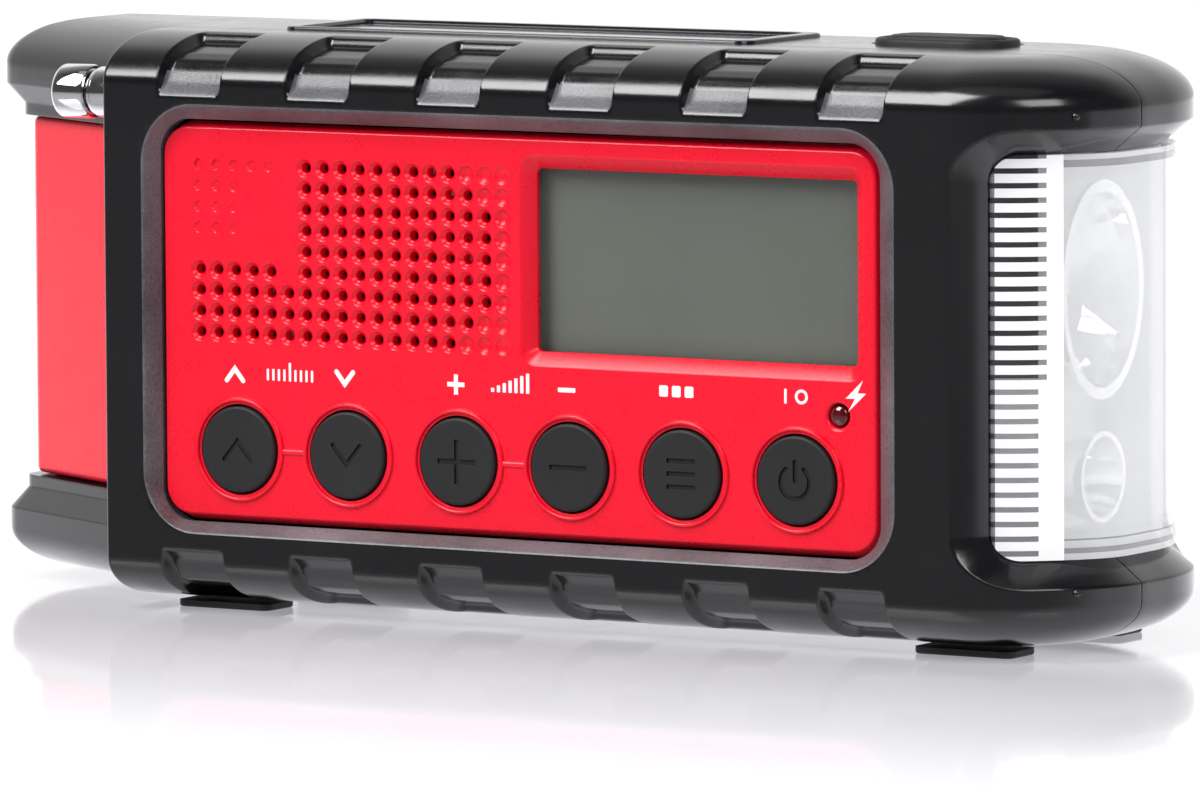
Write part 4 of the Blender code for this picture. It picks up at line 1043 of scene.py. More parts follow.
def rear_shell_skin():
    cols = whole_columns()
    cache = {}
    zs = set()
    for z in RED_PROFILE:
        zs.add(round(z[1], 4)); zs.add(round(2.8 - z[1], 4))
    for z in np.arange(OPEN_LO, OPEN_LO + 9, 0.4):
        zs.add(round(float(z), 4)); zs.add(round(float(2.8 - z), 4))
    for z in np.arange(-20, 24, 4.0):
        zs.add(float(z))
    zs |= {34.8, 35.4, -32.0, -32.7}
    zs = sorted(z for z in zs if LIP_BOTTOM + 0.05 < z < LIP_TOP - 0.05)
    keep = [zs[0]]
    for z in zs[1:]:
        if z - keep[-1] > 0.045:
            keep.append(z)
    rows = [ellipse(a, False) for a in np.linspace(90, 0, 30)]
    rows += [(0.0, z) for z in keep]
    rows += [ellipse(a, True) for a in np.linspace(0, 90, 30)]
    rings = []
    for ins, z in rows:
        ring = []
        for col in cols:
            kind, i, f = col
            extra = 0.0
            if ins < 1e-6 and LIP_BOTTOM < z < LIP_TOP:
                x, d = column_point(col, 0.0, cache)
                if x < 0.6 and not (kind == "line" and i == 2 and x > -23.0):
                    w = 1.0
                    if kind == "line" and i == 2:
                        w = min(1.0, max(0.0, (-23.0 - x) / 2.6))
                    extra = max(extra, red_inset(z) * w)
            x, d = column_point(col, ins + extra, cache)
            ring.append((x, d, z))
        rings.append(ring)
    return mesh_object("rear_shell_skin", *bridge(rings), ["rear"])


def build_rear_shell():
    shell = rear_shell_skin()
    tools = [
        box_tool("cut_front_room", -GAP, 200, -20, SEAM_D + 0.22, -60, 60),
        loft_tool("cut_rear_hollow", [(1.0, 2.2, 3.0, 2), (135.0, 2.2, 3.0, 2), (135.0, DEPTH - 2.2, 3.0, 2), (1.0, DEPTH - 2.2, 3.0, 2)],
                  shoulder_levels(-31.1, 33.9, -37.7, 40.8, 12.5, 4)),
    ]
    left_room = loft_tool("cut_left_room", WHOLE, [(-36.6, 8.4), (39.4, 8.4)])
    reach = box_tool("keep_left_room", -60, -2.0, -20, 90, -60, 60)
    boolean(left_room, [reach], "INTERSECT")
    tools += [left_room, box_tool("cut_left_door", -3.0, 2.0, 24.0, 52.0, -33.0, 35.0)]
    boolean(shell, tools)
    bake(shell)
    drop(tools + [reach])
    adds = [
        rod_tool("add_dish", (CRANK_X, (DISH_D - 1.8 + DEPTH - 0.6) / 2, CRANK_Z), "Y", DISH_R + 2.0, DEPTH - 0.6 - (DISH_D - 1.8), 96),
        box_tool("add_battery", BAT[0] - 2, BAT[1] + 2, 32.0, DEPTH - 1.0, BAT[2] - 2, BAT[3] + 2),
        stack("add_door_pad", [(rrect(*grow(DOOR, 2.0), 2.4, 4), DEPTH - 5.2), (rrect(*grow(DOOR, 2.0), 2.4, 4), DEPTH - 1.5)], ["rear"], tool=True),
    ]
    rim = lambda g, r: rrect(17.4 + g, 96.6 - g, 21.0 + g, 43.6 - g, r, 8)
    adds.append(stack("add_rim", [(rim(0, 2.5), 40.2), (rim(0, 2.5), TOP_Z + 0.18), (rim(0.1, 2.4), TOP_Z + 0.38), (rim(0.35, 2.2), TOP_Z + 0.49), (rim(0.6, 2.0), TOP_Z + 0.5)],
                      ["rear"], normal="Z", tool=True))
    for k, (x, z) in enumerate(SCREWS):
        adds.append(rod_tool("add_post_%d" % k, (x, 39.5, z), "Y", 4.1, 36.5, 24))
    boolean(shell, adds, "UNION")
    bake(shell)
    drop(adds)
    dish = lathe("cut_dish", (CRANK_X, CRANK_Z), "Y",
                 [(0, DISH_D), (DISH_R - 2.6, DISH_D), (DISH_R - 1.2, DISH_D + 0.35), (DISH_R - 0.35, DISH_D + 1.2), (DISH_R, DISH_D + 2.6),
                  (DISH_R, DEPTH - 0.9), (DISH_R + 0.12, DEPTH - 0.45), (DISH_R + 0.45, DEPTH - 0.12), (DISH_R + 0.9, DEPTH), (DISH_R + 0.9, DEPTH + 6), (0, DEPTH + 6)],
                 ["rear"], 128, tool=True)
    cuts = [dish, rod_tool("cut_shaft", (CRANK_X, 46, CRANK_Z), "Y", 3.35, 12, 40),
            box_tool("cut_battery", BAT[0], BAT[1], 34.0, 66, BAT[2], BAT[3]),
            stack("cut_door", [(rrect(*DOOR, 0.7, 4), DEPTH - 3.1), (rrect(*DOOR, 0.7, 4), DEPTH - 0.3), (rrect(*grow(DOOR, 0.3), 1.0, 4), DEPTH + 0.01),
                               (rrect(*grow(DOOR, 0.3), 1.0, 4), DEPTH + 4)], ["rear"], tool=True),
            stack("cut_port_step", [(rrect(*grow(PORT, 1.4), 2.0, 6), DEPTH - 1.9), (rrect(*grow(PORT, 1.4), 2.0, 6), DEPTH - 0.3),
                                    (rrect(*grow(PORT, 1.7), 2.3, 6), DEPTH + 0.01), (rrect(*grow(PORT, 1.7), 2.3, 6), DEPTH + 4)], ["rear"], tool=True),
            stack("cut_port", [(rrect(*PORT, 1.0, 5), DEPTH - 8), (rrect(*PORT, 1.0, 5), DEPTH + 4)], ["rear"], tool=True),
            stack("cut_solar", [(rrect(*SOLAR, 1.2, 6), TOP_Z - 1.9), (rrect(*SOLAR, 1.2, 6), TOP_Z + 0.1), (rrect(*grow(SOLAR, 0.5), 1.6, 6), TOP_Z + 0.51),
                                (rrect(*grow(SOLAR, 0.5), 1.6, 6), TOP_Z + 4)], ["rear"], normal="Z", tool=True),
            rod_tool("cut_wire", (24, 30, 41), "Z", 1.5, 8, 20),
            stack("cut_switch", [(rrect(*SWITCH, 5.9, 10), TOP_Z - 6), (rrect(*SWITCH, 5.9, 10), TOP_Z - 0.4), (rrect(*grow(SWITCH, 0.35), 6.2, 10), TOP_Z + 0.01),
                                  (rrect(*grow(SWITCH, 0.35), 6.2, 10), TOP_Z + 4)], ["rear"], normal="Z", tool=True),
            rod_tool("cut_scallop", (-10, ANT_D, ANT_Z), "X", 4.9, 24, 64)]
    window = lamp_window("cut_window_rear")
    bay = box_tool("cut_bay_rear", 137.2, 190, -10, 90, -37, 40)
    rest = loft_tool("keep_bay_rear", WHOLE, [(-37.0, 6.6), (40.0, 6.6)], steps=16)
    boolean(bay, [rest], "INTERSECT")
    cuts += [window, bay]
    for k, (x, z) in enumerate(SCREWS):
        cuts.append(rod_tool("cut_bore_%d" % k, (x, 40, z), "Y", 1.6, 60, 16))
        cuts.append(lathe("cut_sink_%d" % k, (x, z), "Y", [(0, 55.0), (3.1, 55.0), (3.1, DEPTH - 0.5), (3.5, DEPTH + 0.01), (3.5, 70), (0, 70)], ["rear"], 40, tool=True))
    boolean(shell, cuts)
    bake(shell)
    mesh = shell.data
    mesh.polygons.foreach_set("material_index", np.zeros(len(mesh.polygons), np.int32))
    while len(mesh.materials) > 1:
        mesh.materials.pop()
    drop(cuts + [rest])
    return put_on(shell, "case", "rear_shell", slot="black_plastic")


FRONT_SHELL = build_front_shell()
REAR_SHELL = build_rear_shell()


def crisp(obj):
    """Flat shading on faces square to an axis, so their shading stays even."""
    mesh = obj.data
    n = len(mesh.polygons)
    normal = np.empty(n * 3)
    mesh.polygons.foreach_get("normal", normal)
    flat = np.abs(normal.reshape(-1, 3)).max(axis=1) > 0.99999
    smooth = np.ones(n, bool)
    smooth[flat] = False
    mesh.polygons.foreach_set("use_smooth", smooth)
    mesh.update()
    return obj


def joined(name, objs, mats=None):
    """One mesh object from several; the parts must not overlap where they are used as a cutter."""
    points, faces, slots = [], [], []
    for obj in objs:
        start = len(points)
        points += [tuple(v.co) for v in obj.data.vertices]
        for p in obj.data.polygons:
            faces.append([start + i for i in p.vertices])
            slots.append(p.material_index)
    mesh = bpy.data.meshes.new(name)
    mesh.from_pydata(points, [], faces)
    mesh.polygons.foreach_set("material_index", np.asarray(slots, np.int32))
    for key in (mats or []):
        mesh.materials.append(MAT[key])
    if not mats:
        for m in objs[0].data.materials:
            mesh.materials.append(m)
    mesh.shade_smooth()
    mesh.set_sharp_from_angle(angle=math.radians(32))
    out = bpy.data.objects.new(name, mesh)
    objs[0].users_collection[0].objects.link(out)
    drop(objs)
    return out


# ---------------------------------------------------------- small flat symbols
def ribbon(path, width, n=6, closed=False):
    """Outline of a line of points drawn with a round-ended pen; mitred corners."""
    pts = [Vector(p) for p in path]
    half = width / 2
    left, right = [], []
    m = len(pts)
    for i, p in enumerate(pts):
        a = pts[i - 1] if (i > 0 or closed) else None
        b = pts[(i + 1) % m] if (i < m - 1 or closed) else None
        if a is None:
            t = (b - p).normalized()
            nrm, k = Vector((-t.y, t.x)), 1.0
        elif b is None:
            t = (p - a).normalized()
            nrm, k = Vector((-t.y, t.x)), 1.0
        else:
            u, v = (p - a).normalized(), (b - p).normalized()
            t = (u + v).normalized()
            nrm = Vector((-t.y, t.x))
            k = 1.0 / max(0.35, nrm.dot(Vector((-u.y, u.x))))
        left.append(p + nrm * half * k)
        right.append(p - nrm * half * k)
    if closed:
        return [tuple(p) for p in left], [tuple(p) for p in right]
    out = [tuple(p) for p in right]
    t = (pts[-1] - pts[-2]).normalized()
    for j in range(1, n):
        a = math.atan2(t.y, t.x) - math.pi / 2 + math.pi * j / n
        out.append((pts[-1].x + half * math.cos(a), pts[-1].y + half * math.sin(a)))
    out += [tuple(p) for p in left[::-1]]
    t = (pts[0] - pts[1]).normalized()
    for j in range(1, n):
        a = math.atan2(t.y, t.x) - math.pi / 2 + math.pi * j / n
        out.append((pts[0].x + half * math.cos(a), pts[0].y + half * math.sin(a)))
    return out


def block(x0, x1, z0, z1, r=0.12, n=3):
    return rrect(x0, x1, z0, z1, r, n)


def chevron(x, z, w, h, stroke, up=True):
    s = 1 if up else -1
    return [ribbon([(x - w / 2 + stroke / 3, z - s * h / 2 + s * stroke / 3), (x, z + s * h / 2 - s * stroke * 0.6), (x + w / 2 - stroke / 3, z - s * h / 2 + s * stroke / 3)], stroke)]


def plus(x, z, size, stroke):
    a, b = size / 2, stroke / 2
    return [[(x + b, z + b), (x + b, z + a), (x - b, z + a), (x - b, z + b), (x - a, z + b), (x - a, z - b), (x - b, z - b), (x - b, z - a),
             (x + b, z - a), (x + b, z - b), (x + a, z - b), (x + a, z + b)]]


def minus(x, z, size, stroke):
    return [block(x - size / 2, x + size / 2, z - stroke / 2, z + stroke / 2)]


def bars(x, z, w, h, stroke):
    return [block(x - w / 2, x + w / 2, z + k * (h - stroke) / 2 - stroke / 2, z + k * (h - stroke) / 2 + stroke / 2) for k in (-1, 0, 1)]


def power_sign(x, z, r, stroke):
    path = [(x + r * math.sin(a), z + r * math.cos(a)) for a in np.radians(np.linspace(38, 322, 28))]
    return [ribbon(path, stroke), ribbon([(x, z + r + 0.55), (x, z + r * 0.10)], stroke)]


def prism(name, outline, d0, d1, mats, index=0, tool=True, normal="Y"):
    """Straight-sided solid from one (x, z) outline."""
    obj = stack(name, [(outline, d0), (outline, d1)], mats, normal=normal, tool=tool, smooth=30.0)
    if index:
        obj.data.polygons.foreach_set("material_index", np.full(len(obj.data.polygons), index, np.int32))
    return obj


# ---------------------------------------------------------------- front panel
PANEL_T = 2.2


def inner_rect(rect, profile, radius, n=12, min_r=0.3):
    """Sections of a rounded rectangle for a profile [(inset, d)]."""
    return [(rrect(*grow(rect, -inset), max(radius - inset, min_r), n), d) for inset, d in profile]


def build_front_panel():
    edge = [(0.0, PANEL_D + PANEL_T), (0.0, 4.60), (0.06, 4.42), (0.2, 4.22), (0.78, 3.08), (0.88, 2.94), (1.02, 2.84), (1.18, PANEL_D)]
    sections = []
    for inset, d in edge:
        k = inset / 1.18
        rect = (PANEL[0] + 0.12 * k, PANEL[1] - 1.30 * k, PANEL[2] + 1.18 * k, PANEL[3] - 1.05 * k)
        sections.append((rrect(*rect, PANEL_R - 0.7 * inset, 12), d))
    panel = stack("front_panel_red", sections, ["red", "white_ink"])
    ups = []
    for k in range(6):
        x = BUTTON_X0 + k * BUTTON_DX
        ring = [(6.45, 4.2), (6.45, 3.34), (6.62, 3.34), (7.02, 2.56)] + [(7.30 + 0.30 * math.cos(a), 2.62 - 0.28 * math.sin(a)) for a in np.radians(np.linspace(150, 8, 10))]
        ring += [(7.68, 2.83), (7.68, 4.2), (6.45, 4.2)]
        ups.append(lathe("up_ring_%d" % k, (x, BUTTON_Z), "Y", ring, ["red"], 96, tool=True))
    for k in (0, 2):
        x0, x1 = BUTTON_X0 + k * BUTTON_DX + 7.2, BUTTON_X0 + (k + 1) * BUTTON_DX - 7.2
        loop = [(3.1, BUTTON_Z - 0.55)] + [(2.84 - 0.36 * math.sin(a), BUTTON_Z - 0.45 * math.cos(a)) for a in np.radians(np.linspace(0, 180, 13))] + [(3.1, BUTTON_Z + 0.55)]
        ups.append(stack("up_ridge_%d" % k, [(loop, x0), (loop, x1)], ["red"], normal="X", tool=True))
    boolean(panel, ups, "UNION")
    bake(panel)
    drop(ups)
    downs = []
    for k in range(6):
        downs.append(rod_tool("down_button_%d" % k, (BUTTON_X0 + k * BUTTON_DX, 4, BUTTON_Z), "Y", 6.62, 8, 96))
    led = [(0, 0), (2.25, 0), (2.25, PANEL_D - 0.001), (2.05, PANEL_D + 0.06), (1.85, PANEL_D + 0.22), (1.72, PANEL_D + 0.5), (1.70, 8), (0, 8)]
    downs.append(lathe("down_led", (LED_X, LED_Z), "Y", led, ["red"], 48, tool=True))
    bevel = [(-2.12, -1.0), (-2.12, PANEL_D), (-1.95, PANEL_D + 0.035), (-1.78, PANEL_D + 0.13), (-0.10, 4.22), (0.0, 4.36), (0.0, 9.0)]
    seen = (LCD[0], LCD[1] - 0.9, LCD[2], LCD[3])
    downs.append(stack("down_lcd", [(rrect(*grow(seen, -i), 0.8 + max(0.0, -i) * 0.85, 10), d) for i, d in bevel], ["red"], tool=True))
    holes = []
    dim = [(1.45 - 0.68 * t, PANEL_D + 0.50 * (0.5 - 0.5 * math.cos(math.pi * t))) for t in (0.0, 0.07, 0.16, 0.27, 0.40, 0.55, 0.70, 0.85)]
    for row in range(9):
        for col in range(18):
            x, z = HOLE_X0 + col * PITCH, row * PITCH
            if row > 3 and col < 6 or row == 3 and col == 5:
                if row >= 5 and col <= (4 if row == 8 else 2):
                    depth = (1.0 if row == 8 else 0.6) * (1.0 - 0.15 * col)
                    prof = [(0, 0), (0.86, 0), (0.86, PANEL_D - 0.01), (0.78, PANEL_D + 0.05 * depth), (0.70, PANEL_D + 0.22 * depth), (0.62, PANEL_D + 0.40 * depth),
                            (0, PANEL_D + 0.44 * depth)]
                    holes.append(lathe("h", (x, z), "Y", prof, ["red"], 24, tool=True))
                continue
            blind = col >= {0: 15, 1: 16, 7: 16, 8: 15}.get(row, 17)
            if blind:
                far = col - {0: 15, 1: 16, 7: 16, 8: 15}.get(row, 17)
                depth = 0.95 - 0.22 * far
                prof = [(0, 0), (1.45, 0)] + [(r, PANEL_D + (d - PANEL_D) * depth) for r, d in dim] + [(0.72, PANEL_D + 0.52 * depth), (0.45, PANEL_D + 0.66 * depth), (0, PANEL_D + 0.70 * depth)]
            else:
                prof = [(0, 0), (1.45, 0)] + dim + [(0.78, PANEL_D + 0.56), (0.76, PANEL_D + 0.75), (0.76, 9), (0, 9)]
            holes.append(lathe("h", (x, z), "Y", prof, ["red"], 24, tool=True))
    downs.append(joined("down_holes", holes))
    boolean(panel, downs)
    bake(panel, 34)
    drop(downs)
    crisp(panel)
    put_on(panel, "case", "front_panel", slot="red_plastic")

    # printed marks on the panel
    ink = []
    for x, z, up in ((20.9, -5.9, True), (39.8, -5.8, False)):
        ink += chevron(x, z, 3.3, 2.4, 0.72, up)
    ink += plus(58.7, -5.8, 2.9, 0.66) + minus(77.3, -5.8, 2.9, 0.66)
    for k in range(9):                       # tuning scale
        ink.append(block(26.6 + k * 0.95 - 0.19, 26.6 + k * 0.95 + 0.19, -6.6, -6.6 + (2.7 if k == 4 else 1.7)))
    for k in range(7):                       # volume steps
        ink.append(block(64.9 + k * 0.98 - 0.27, 64.9 + k * 0.98 + 0.27, -6.6, -6.0 + 0.38 * k))
    for k in range(3):                       # choice of function: three boxes
        ink.append(block(93.4 + k * 2.1 - 0.72, 93.4 + k * 2.1 + 0.72, -6.0, -4.4, 0.25))
    ink.append(block(113.2, 113.6, -6.1, -4.0))
    ring = circle(116.0, -5.05, 1.05, 28)
    hole = circle(116.0, -5.05, 0.65, 28)
    bolt = [(126.0, -2.3), (123.2, -4.95), (124.7, -4.95), (123.6, -6.8), (126.5, -4.15), (125.1, -4.15)]
    ink.append(bolt)
    marks = [prism("ink", o, PANEL_D - 0.035, PANEL_D + 0.05, ["white_ink"]) for o in ink]
    top, low = PANEL_D - 0.035, PANEL_D + 0.05
    rings = [[(x, d, z) for x, z in loop] for loop, d in ((ring, top), (ring, low), (hole, low), (hole, top), (ring, top))]
    marks.append(mesh_object("ink", *bridge(rings, closed_ends=False), ["white_ink"], tool=True))
    print_obj = joined("panel_print", marks, ["white_ink"])
    TOOLS.objects.unlink(print_obj)
    PIECES.objects.link(print_obj)
    put_on(print_obj, "case", slot="white_plastic")
    return panel


build_front_panel()


# -------------------------------------------------------------------- buttons
def build_buttons():
    bodies = [("tune_up", "tune_up_button", lambda x, z: chevron(x, z, 5.1, 3.4, 0.72, True)),
              ("tune_down", "tune_down_button", lambda x, z: chevron(x, z, 5.1, 3.4, 0.72, False)),
              ("volume_up", "volume_up_button", lambda x, z: plus(x, z, 6.4, 0.74)),
              ("volume_down", "volume_down_button", lambda x, z: minus(x, z, 6.2, 0.74)),
              ("menu", "menu_button", lambda x, z: bars(x, z, 4.7, 4.4, 0.70)),
              ("power", "power_button", lambda x, z: power_sign(x, z - 0.25, 2.35, 0.70))]
    for k, (body, node, icon) in enumerate(bodies):
        x = BUTTON_X0 + k * BUTTON_DX
        top = [(6.3 - 0.42 * (1 - math.cos(a)), 2.62 - 0.42 * math.sin(a)) for a in np.radians(np.linspace(0, 90, 7))]
        prof = [(0, 8.2), (2.2, 8.2), (2.2, 6.3), (7.3, 6.3), (7.3, 5.3), (6.3, 5.3)] + top + [(5.6, 2.20), (0, 2.20)]
        cap = lathe(node + "_cap", (x, BUTTON_Z), "Y", prof, ["rubber", "icon_dark"], 96)
        cuts = [prism("icon_%d" % j, o, 1.8, 2.46, ["rubber", "icon_dark"], 1) for j, o in enumerate(icon(x, BUTTON_Z))]
        cut = joined("icon_cut", cuts, ["rubber", "icon_dark"])
        boolean(cap, [cut])
        bake(cap)
        drop([cut])
        crisp(cap)
        put_on(cap, body, node, slot="black_rubber")


build_buttons()


# ---------------------------------------------------------- charge lamp, display
dome = [(0, 7.4), (1.25, 7.4), (1.25, 3.6), (1.45, 3.6), (1.45, 3.30)] + [(1.45 * math.cos(a), 3.30 - 0.62 * math.sin(a)) for a in np.radians(np.linspace(8, 82, 8))] + [(0, 2.68)]
put_on(lathe("charge_led_dome", (LED_X, LED_Z), "Y", dome, ["led_red"], 40), "case", "charge_led", slot="led_red")

w0 = grow(LCD, 1.6)
w1 = grow(LCD, -0.25)
pane = stack("lcd_window_pane", [(rrect(*w0, 0.8, 6), 6.2), (rrect(*w0, 0.8, 6), 5.35), (rrect(*w1, 0.7, 6), 5.35), (rrect(*w1, 0.7, 6), 4.62),
                                 (rrect(*grow(w1, -0.12), 0.6, 6), 4.5)], ["pane"])
crisp(pane)
put_on(pane, "case", "lcd_window", slot="clear_lens")

module = stack("lcd_module_body", [(rrect(69.0, 127.6, -3.4, 27.6, 0.6, 4), 9.6), (rrect(69.0, 127.6, -3.4, 27.6, 0.6, 4), 6.95),
                                   (rrect(69.15, 127.45, -3.25, 27.45, 0.5, 4), 6.8), (rrect(70.2, 126.4, -2.2, 26.4, 0.4, 4), 6.8),
                                   (rrect(70.3, 126.3, -2.1, 26.3, 0.4, 4), 6.6)], ["lcd"])
crisp(module)
put_on(module, "case", "lcd_module", slot="lcd")

# small moulded nubs on the lips at the lamp end
for name, z in (("upper", 35.3), ("lower", -31.3)):
    x, d = track(20.6, 0.05)
    nub = lathe("lip_nub_" + name, (x, d), "Z", [(0, z - 0.62)] + [(0.62 * math.cos(a), z + 0.62 * math.sin(a)) for a in np.radians(np.linspace(-75, 75, 13))] + [(0, z + 0.62)], ["case"], 24)
    put_on(nub, "case", slot="black_plastic")

# -------------------------------------------------------------------- speaker
SPK = (41.5, 11.2)
frame_ring = lathe("speaker_frame_basket", SPK, "Y", [(9.6, 15.6), (10.8, 15.6), (16.0, 8.2), (18.0, 8.2), (18.0, 6.7), (17.9, 6.6), (16.2, 6.6), (15.4, 7.0), (9.6, 14.6), (9.6, 15.6)], ["steel"], 64)
put_on(frame_ring, "case", "speaker_frame", slot="steel")
cone = [(0, 12.6), (6.0, 13.6), (14.0, 7.7), (15.3, 6.9), (15.3, 5.9), (15.0, 5.62), (14.5, 5.5), (14.0, 5.62), (13.6, 6.1), (12.9, 6.4), (5.2, 11.5), (4.6, 11.0), (3.2, 10.2), (1.6, 9.8), (0, 9.7)]
put_on(lathe("speaker_cone_paper", SPK, "Y", cone, ["paper"], 64), "case", "speaker_cone", slot="cone")
put_on(lathe("speaker_magnet_ring", SPK, "Y", [(0, 20.6), (10.7, 20.6), (11.0, 20.3), (11.0, 16.2), (10.7, 15.9), (0, 15.9)], ["magnet"], 64), "case", "speaker_magnet", slot="magnet")


# ------------------------------------------------------------- left end panel
def build_left_panel():
    """Red panel let into the left block, its outer edges rounded."""
    lo, hi = RED_LO + 0.15, RED_HI - 0.15
    prof = [(RED_IN + RED_T, lo), (RED_IN + 0.9, lo), (RED_IN + 0.45, lo + 0.12), (RED_IN + 0.16, lo + 0.42), (RED_IN + 0.03, lo + 0.8), (RED_IN, lo + 1.3),
            (RED_IN, hi - 1.3), (RED_IN + 0.03, hi - 0.8), (RED_IN + 0.16, hi - 0.42), (RED_IN + 0.45, hi - 0.12), (RED_IN + 0.9, hi), (RED_IN + RED_T, hi)]
    rings = [[(x, d, z) for x, d in corners_loop(WHOLE, inset, 28)] for inset, z in prof]
    rings.append(rings[0])
    panel = mesh_object("left_end_red", *bridge(rings, closed_ends=False), ["red"])
    reach = stack("keep_left_panel", [([(-0.8, -4.0), (-0.8, 24.0), (-20.0, 40.0), (-26.3, 49.0), (-26.3, 66.0), (-60.0, 66.0), (-60.0, -4.0)], z) for z in (-60, 60)],
                  ["red"], normal="Z", tool=True)
    boolean(panel, [reach], "INTERSECT")
    bake(panel)
    drop([reach])
    return put_on(panel, "case", "left_end_panel", slot="red_plastic")


build_left_panel()


# -------------------------------------------------------------------- antenna
def tube(name, x0, x1, r_out, r_in, node, body, lip=0.25):
    c = (ANT_D, ANT_Z)
    prof = [(r_in, x1), (r_in, x0 + 0.2), (r_in + 0.12, x0), (r_out - lip, x0), (r_out - lip * 0.3, x0 + lip * 0.3), (r_out, x0 + lip), (r_out, x1), (r_in, x1)]
    return put_on(lathe(name, c, "X", prof, ["chrome"], 72), body, node, slot="chrome")


tube("antenna_sleeve_tube", -7.3, 127.0, 3.55, 3.05, "antenna_sleeve", "case")
tube("antenna_tube_1", -7.3, 126.0, 2.75, 2.35, "antenna_section_1", "antenna_1")
tube("antenna_tube_2", -7.3, 125.0, 2.05, 1.65, "antenna_section_2", "antenna_2")
tip = [(0, 124.0), (1.35, 124.0), (1.35, -7.65), (3.55, -7.65), (3.85, -7.75), (4.0, -8.05), (4.0, -12.5), (3.95, -12.8), (3.80, -13.06), (3.5, -13.25), (3.1, -13.38), (1.2, -13.4), (0, -13.4)]
put_on(lathe("antenna_tip", (ANT_D, ANT_Z), "X", tip, ["chrome"], 72), "antenna_3", "antenna_tip_rod", slot="chrome")
collar = [(3.3, -6.6), (3.55, -6.7), (3.74, -6.5), (3.80, -6.2), (3.80, -0.4), (3.80, 2.0), (3.3, 2.0), (3.3, -6.6)]
put_on(lathe("antenna_collar", (ANT_D, ANT_Z), "X", collar, ["chrome"], 72), "case", slot="chrome")


# ----------------------------------------------------------------------- lamp
def OVAL(r):
    return r if r < 3 else r * 0.763


def build_lamp():
    rib = 2.06

    def shape(s, z, f):
        u = min(max((s - 17.0) / 15.0, 0.0), 1.0)
        swell = -0.5 - 1.5 * u * u * (3 - 2 * u)
        if f < 0.5:
            return swell
        t = ((z - LAMP_LO) / rib) % 1.0
        depth = 0.75 if s < 17.5 else (0.0 if s < 20.5 else 0.30)
        return swell - depth * (0.5 + 0.5 * math.cos(2 * math.pi * t))

    def tone(s, z, f):
        """Which look each patch of the plate has: 0 clear, 1 painted white glare, 2 painted dark refraction stripe, 3
        painted grey refraction.
        """
        refraction_stripe = abs(((z - LAMP_LO) / rib) % 1.0 - 0.52) < 0.21
        if f > 0.99:
            return 0
        if s > 20.42:
            return 3 if 28.1 < z < 29.0 or -26.1 < z < -25.3 or -24.4 < z < -23.9 else 0
        if s > 17.42:
            return 1
        if s > 15.92:
            return 3 if refraction_stripe and z > -3 else 1
        if s < 8.42:
            return 2 if refraction_stripe else 3
        if z > -1.4:
            return 2 if refraction_stripe else 1
        return 3 if refraction_stripe else 1

    # the lens faces get the painted glare, the painted dark stripes and the painted grey chosen by tone()
    lens = curved_plate("lamp_lens_clear", opening_loop(3.52), LENS_IN, LENS_IN + LENS_T, ["lens", "lens_painted_glare", "lens_painted_dark", "lens_painted_grey"],
                        step=1.5, z_step=rib / 8, shape=shape, tone=tone)
    put_on(lens, "case", "lamp_lens", slot="clear_lens")
    # main reflector: faceted bowl
    c = (LAMP_D, LAMP_Z)
    n = 28
    prof = [(2.4, 141.0), (4.2, 141.2), (6.6, 141.9), (9.0, 143.3), (11.2, 145.4), (12.9, 147.9), (13.9, RIM_X)]
    rings = []
    for i, (r, x) in enumerate(prof):
        turn = (i % 2) * math.pi / n
        rings.append([(x, c[0] + OVAL(r) * math.cos(turn + 2 * math.pi * k / n), c[1] + r * math.sin(turn + 2 * math.pi * k / n)) for k in range(n)])
    outer = [(15.6, RIM_X), (15.6, 149.4), (12.4, 144.6), (7.0, 140.6), (2.4, 139.85)]
    for r, x in outer:
        rings.append([(x, c[0] + OVAL(r) * math.cos(2 * math.pi * k / n), c[1] + r * math.sin(2 * math.pi * k / n)) for k in range(n)])
    points = [p for ring in rings for p in ring]
    faces, slots = [], []
    m = len(rings)
    for i in range(m):
        a, b = i * n, ((i + 1) % m) * n
        for k in range(n):
            j = (k + 1) % n
            if i < len(prof) - 1:            # triangles between turned rows give the facets
                if i % 2 == 0:
                    faces += [(a + k, a + j, b + k), (a + j, b + j, b + k)]
                else:
                    faces += [(a + k, a + j, b + j), (a + k, b + j, b + k)]
            else:
                faces.append((a + k, a + j, b + j, b + k))
    bowl = mesh_object("lamp_reflector_bowl", points, faces, ["mirror"], smooth=1.0)
    put_on(bowl, "case", "lamp_reflector", slot="chrome")
    led = [(0, 139.7), (1.9, 139.7), (1.9, 141.4), (1.7, 141.5), (1.7, 141.9)] + [(1.7 * math.cos(a), 141.9 + 1.4 * math.sin(a)) for a in np.radians(np.linspace(10, 85, 7))] + [(0, 143.3)]
    put_on(lathe("lamp_led_dome", c, "X", led, ["led_white"], 32), "case", "lamp_led", slot="led_white")
    cup = [(0, 139.7), (4.0, 139.7), (6.4, 148.6), (6.5, 149.2), (6.5, RIM_X), (5.7, RIM_X), (5.0, 146.8), (4.1, 143.4), (3.0, 141.7), (1.6, 141.3), (1.5, 143.0), (1.1, 143.8), (0, 144.1)]
    put_on(lathe("beacon_cup", (LAMP_D, -17.0), "X", cup, ["mirror"], 48), "case", "beacon_reflector", slot="chrome")


build_lamp()


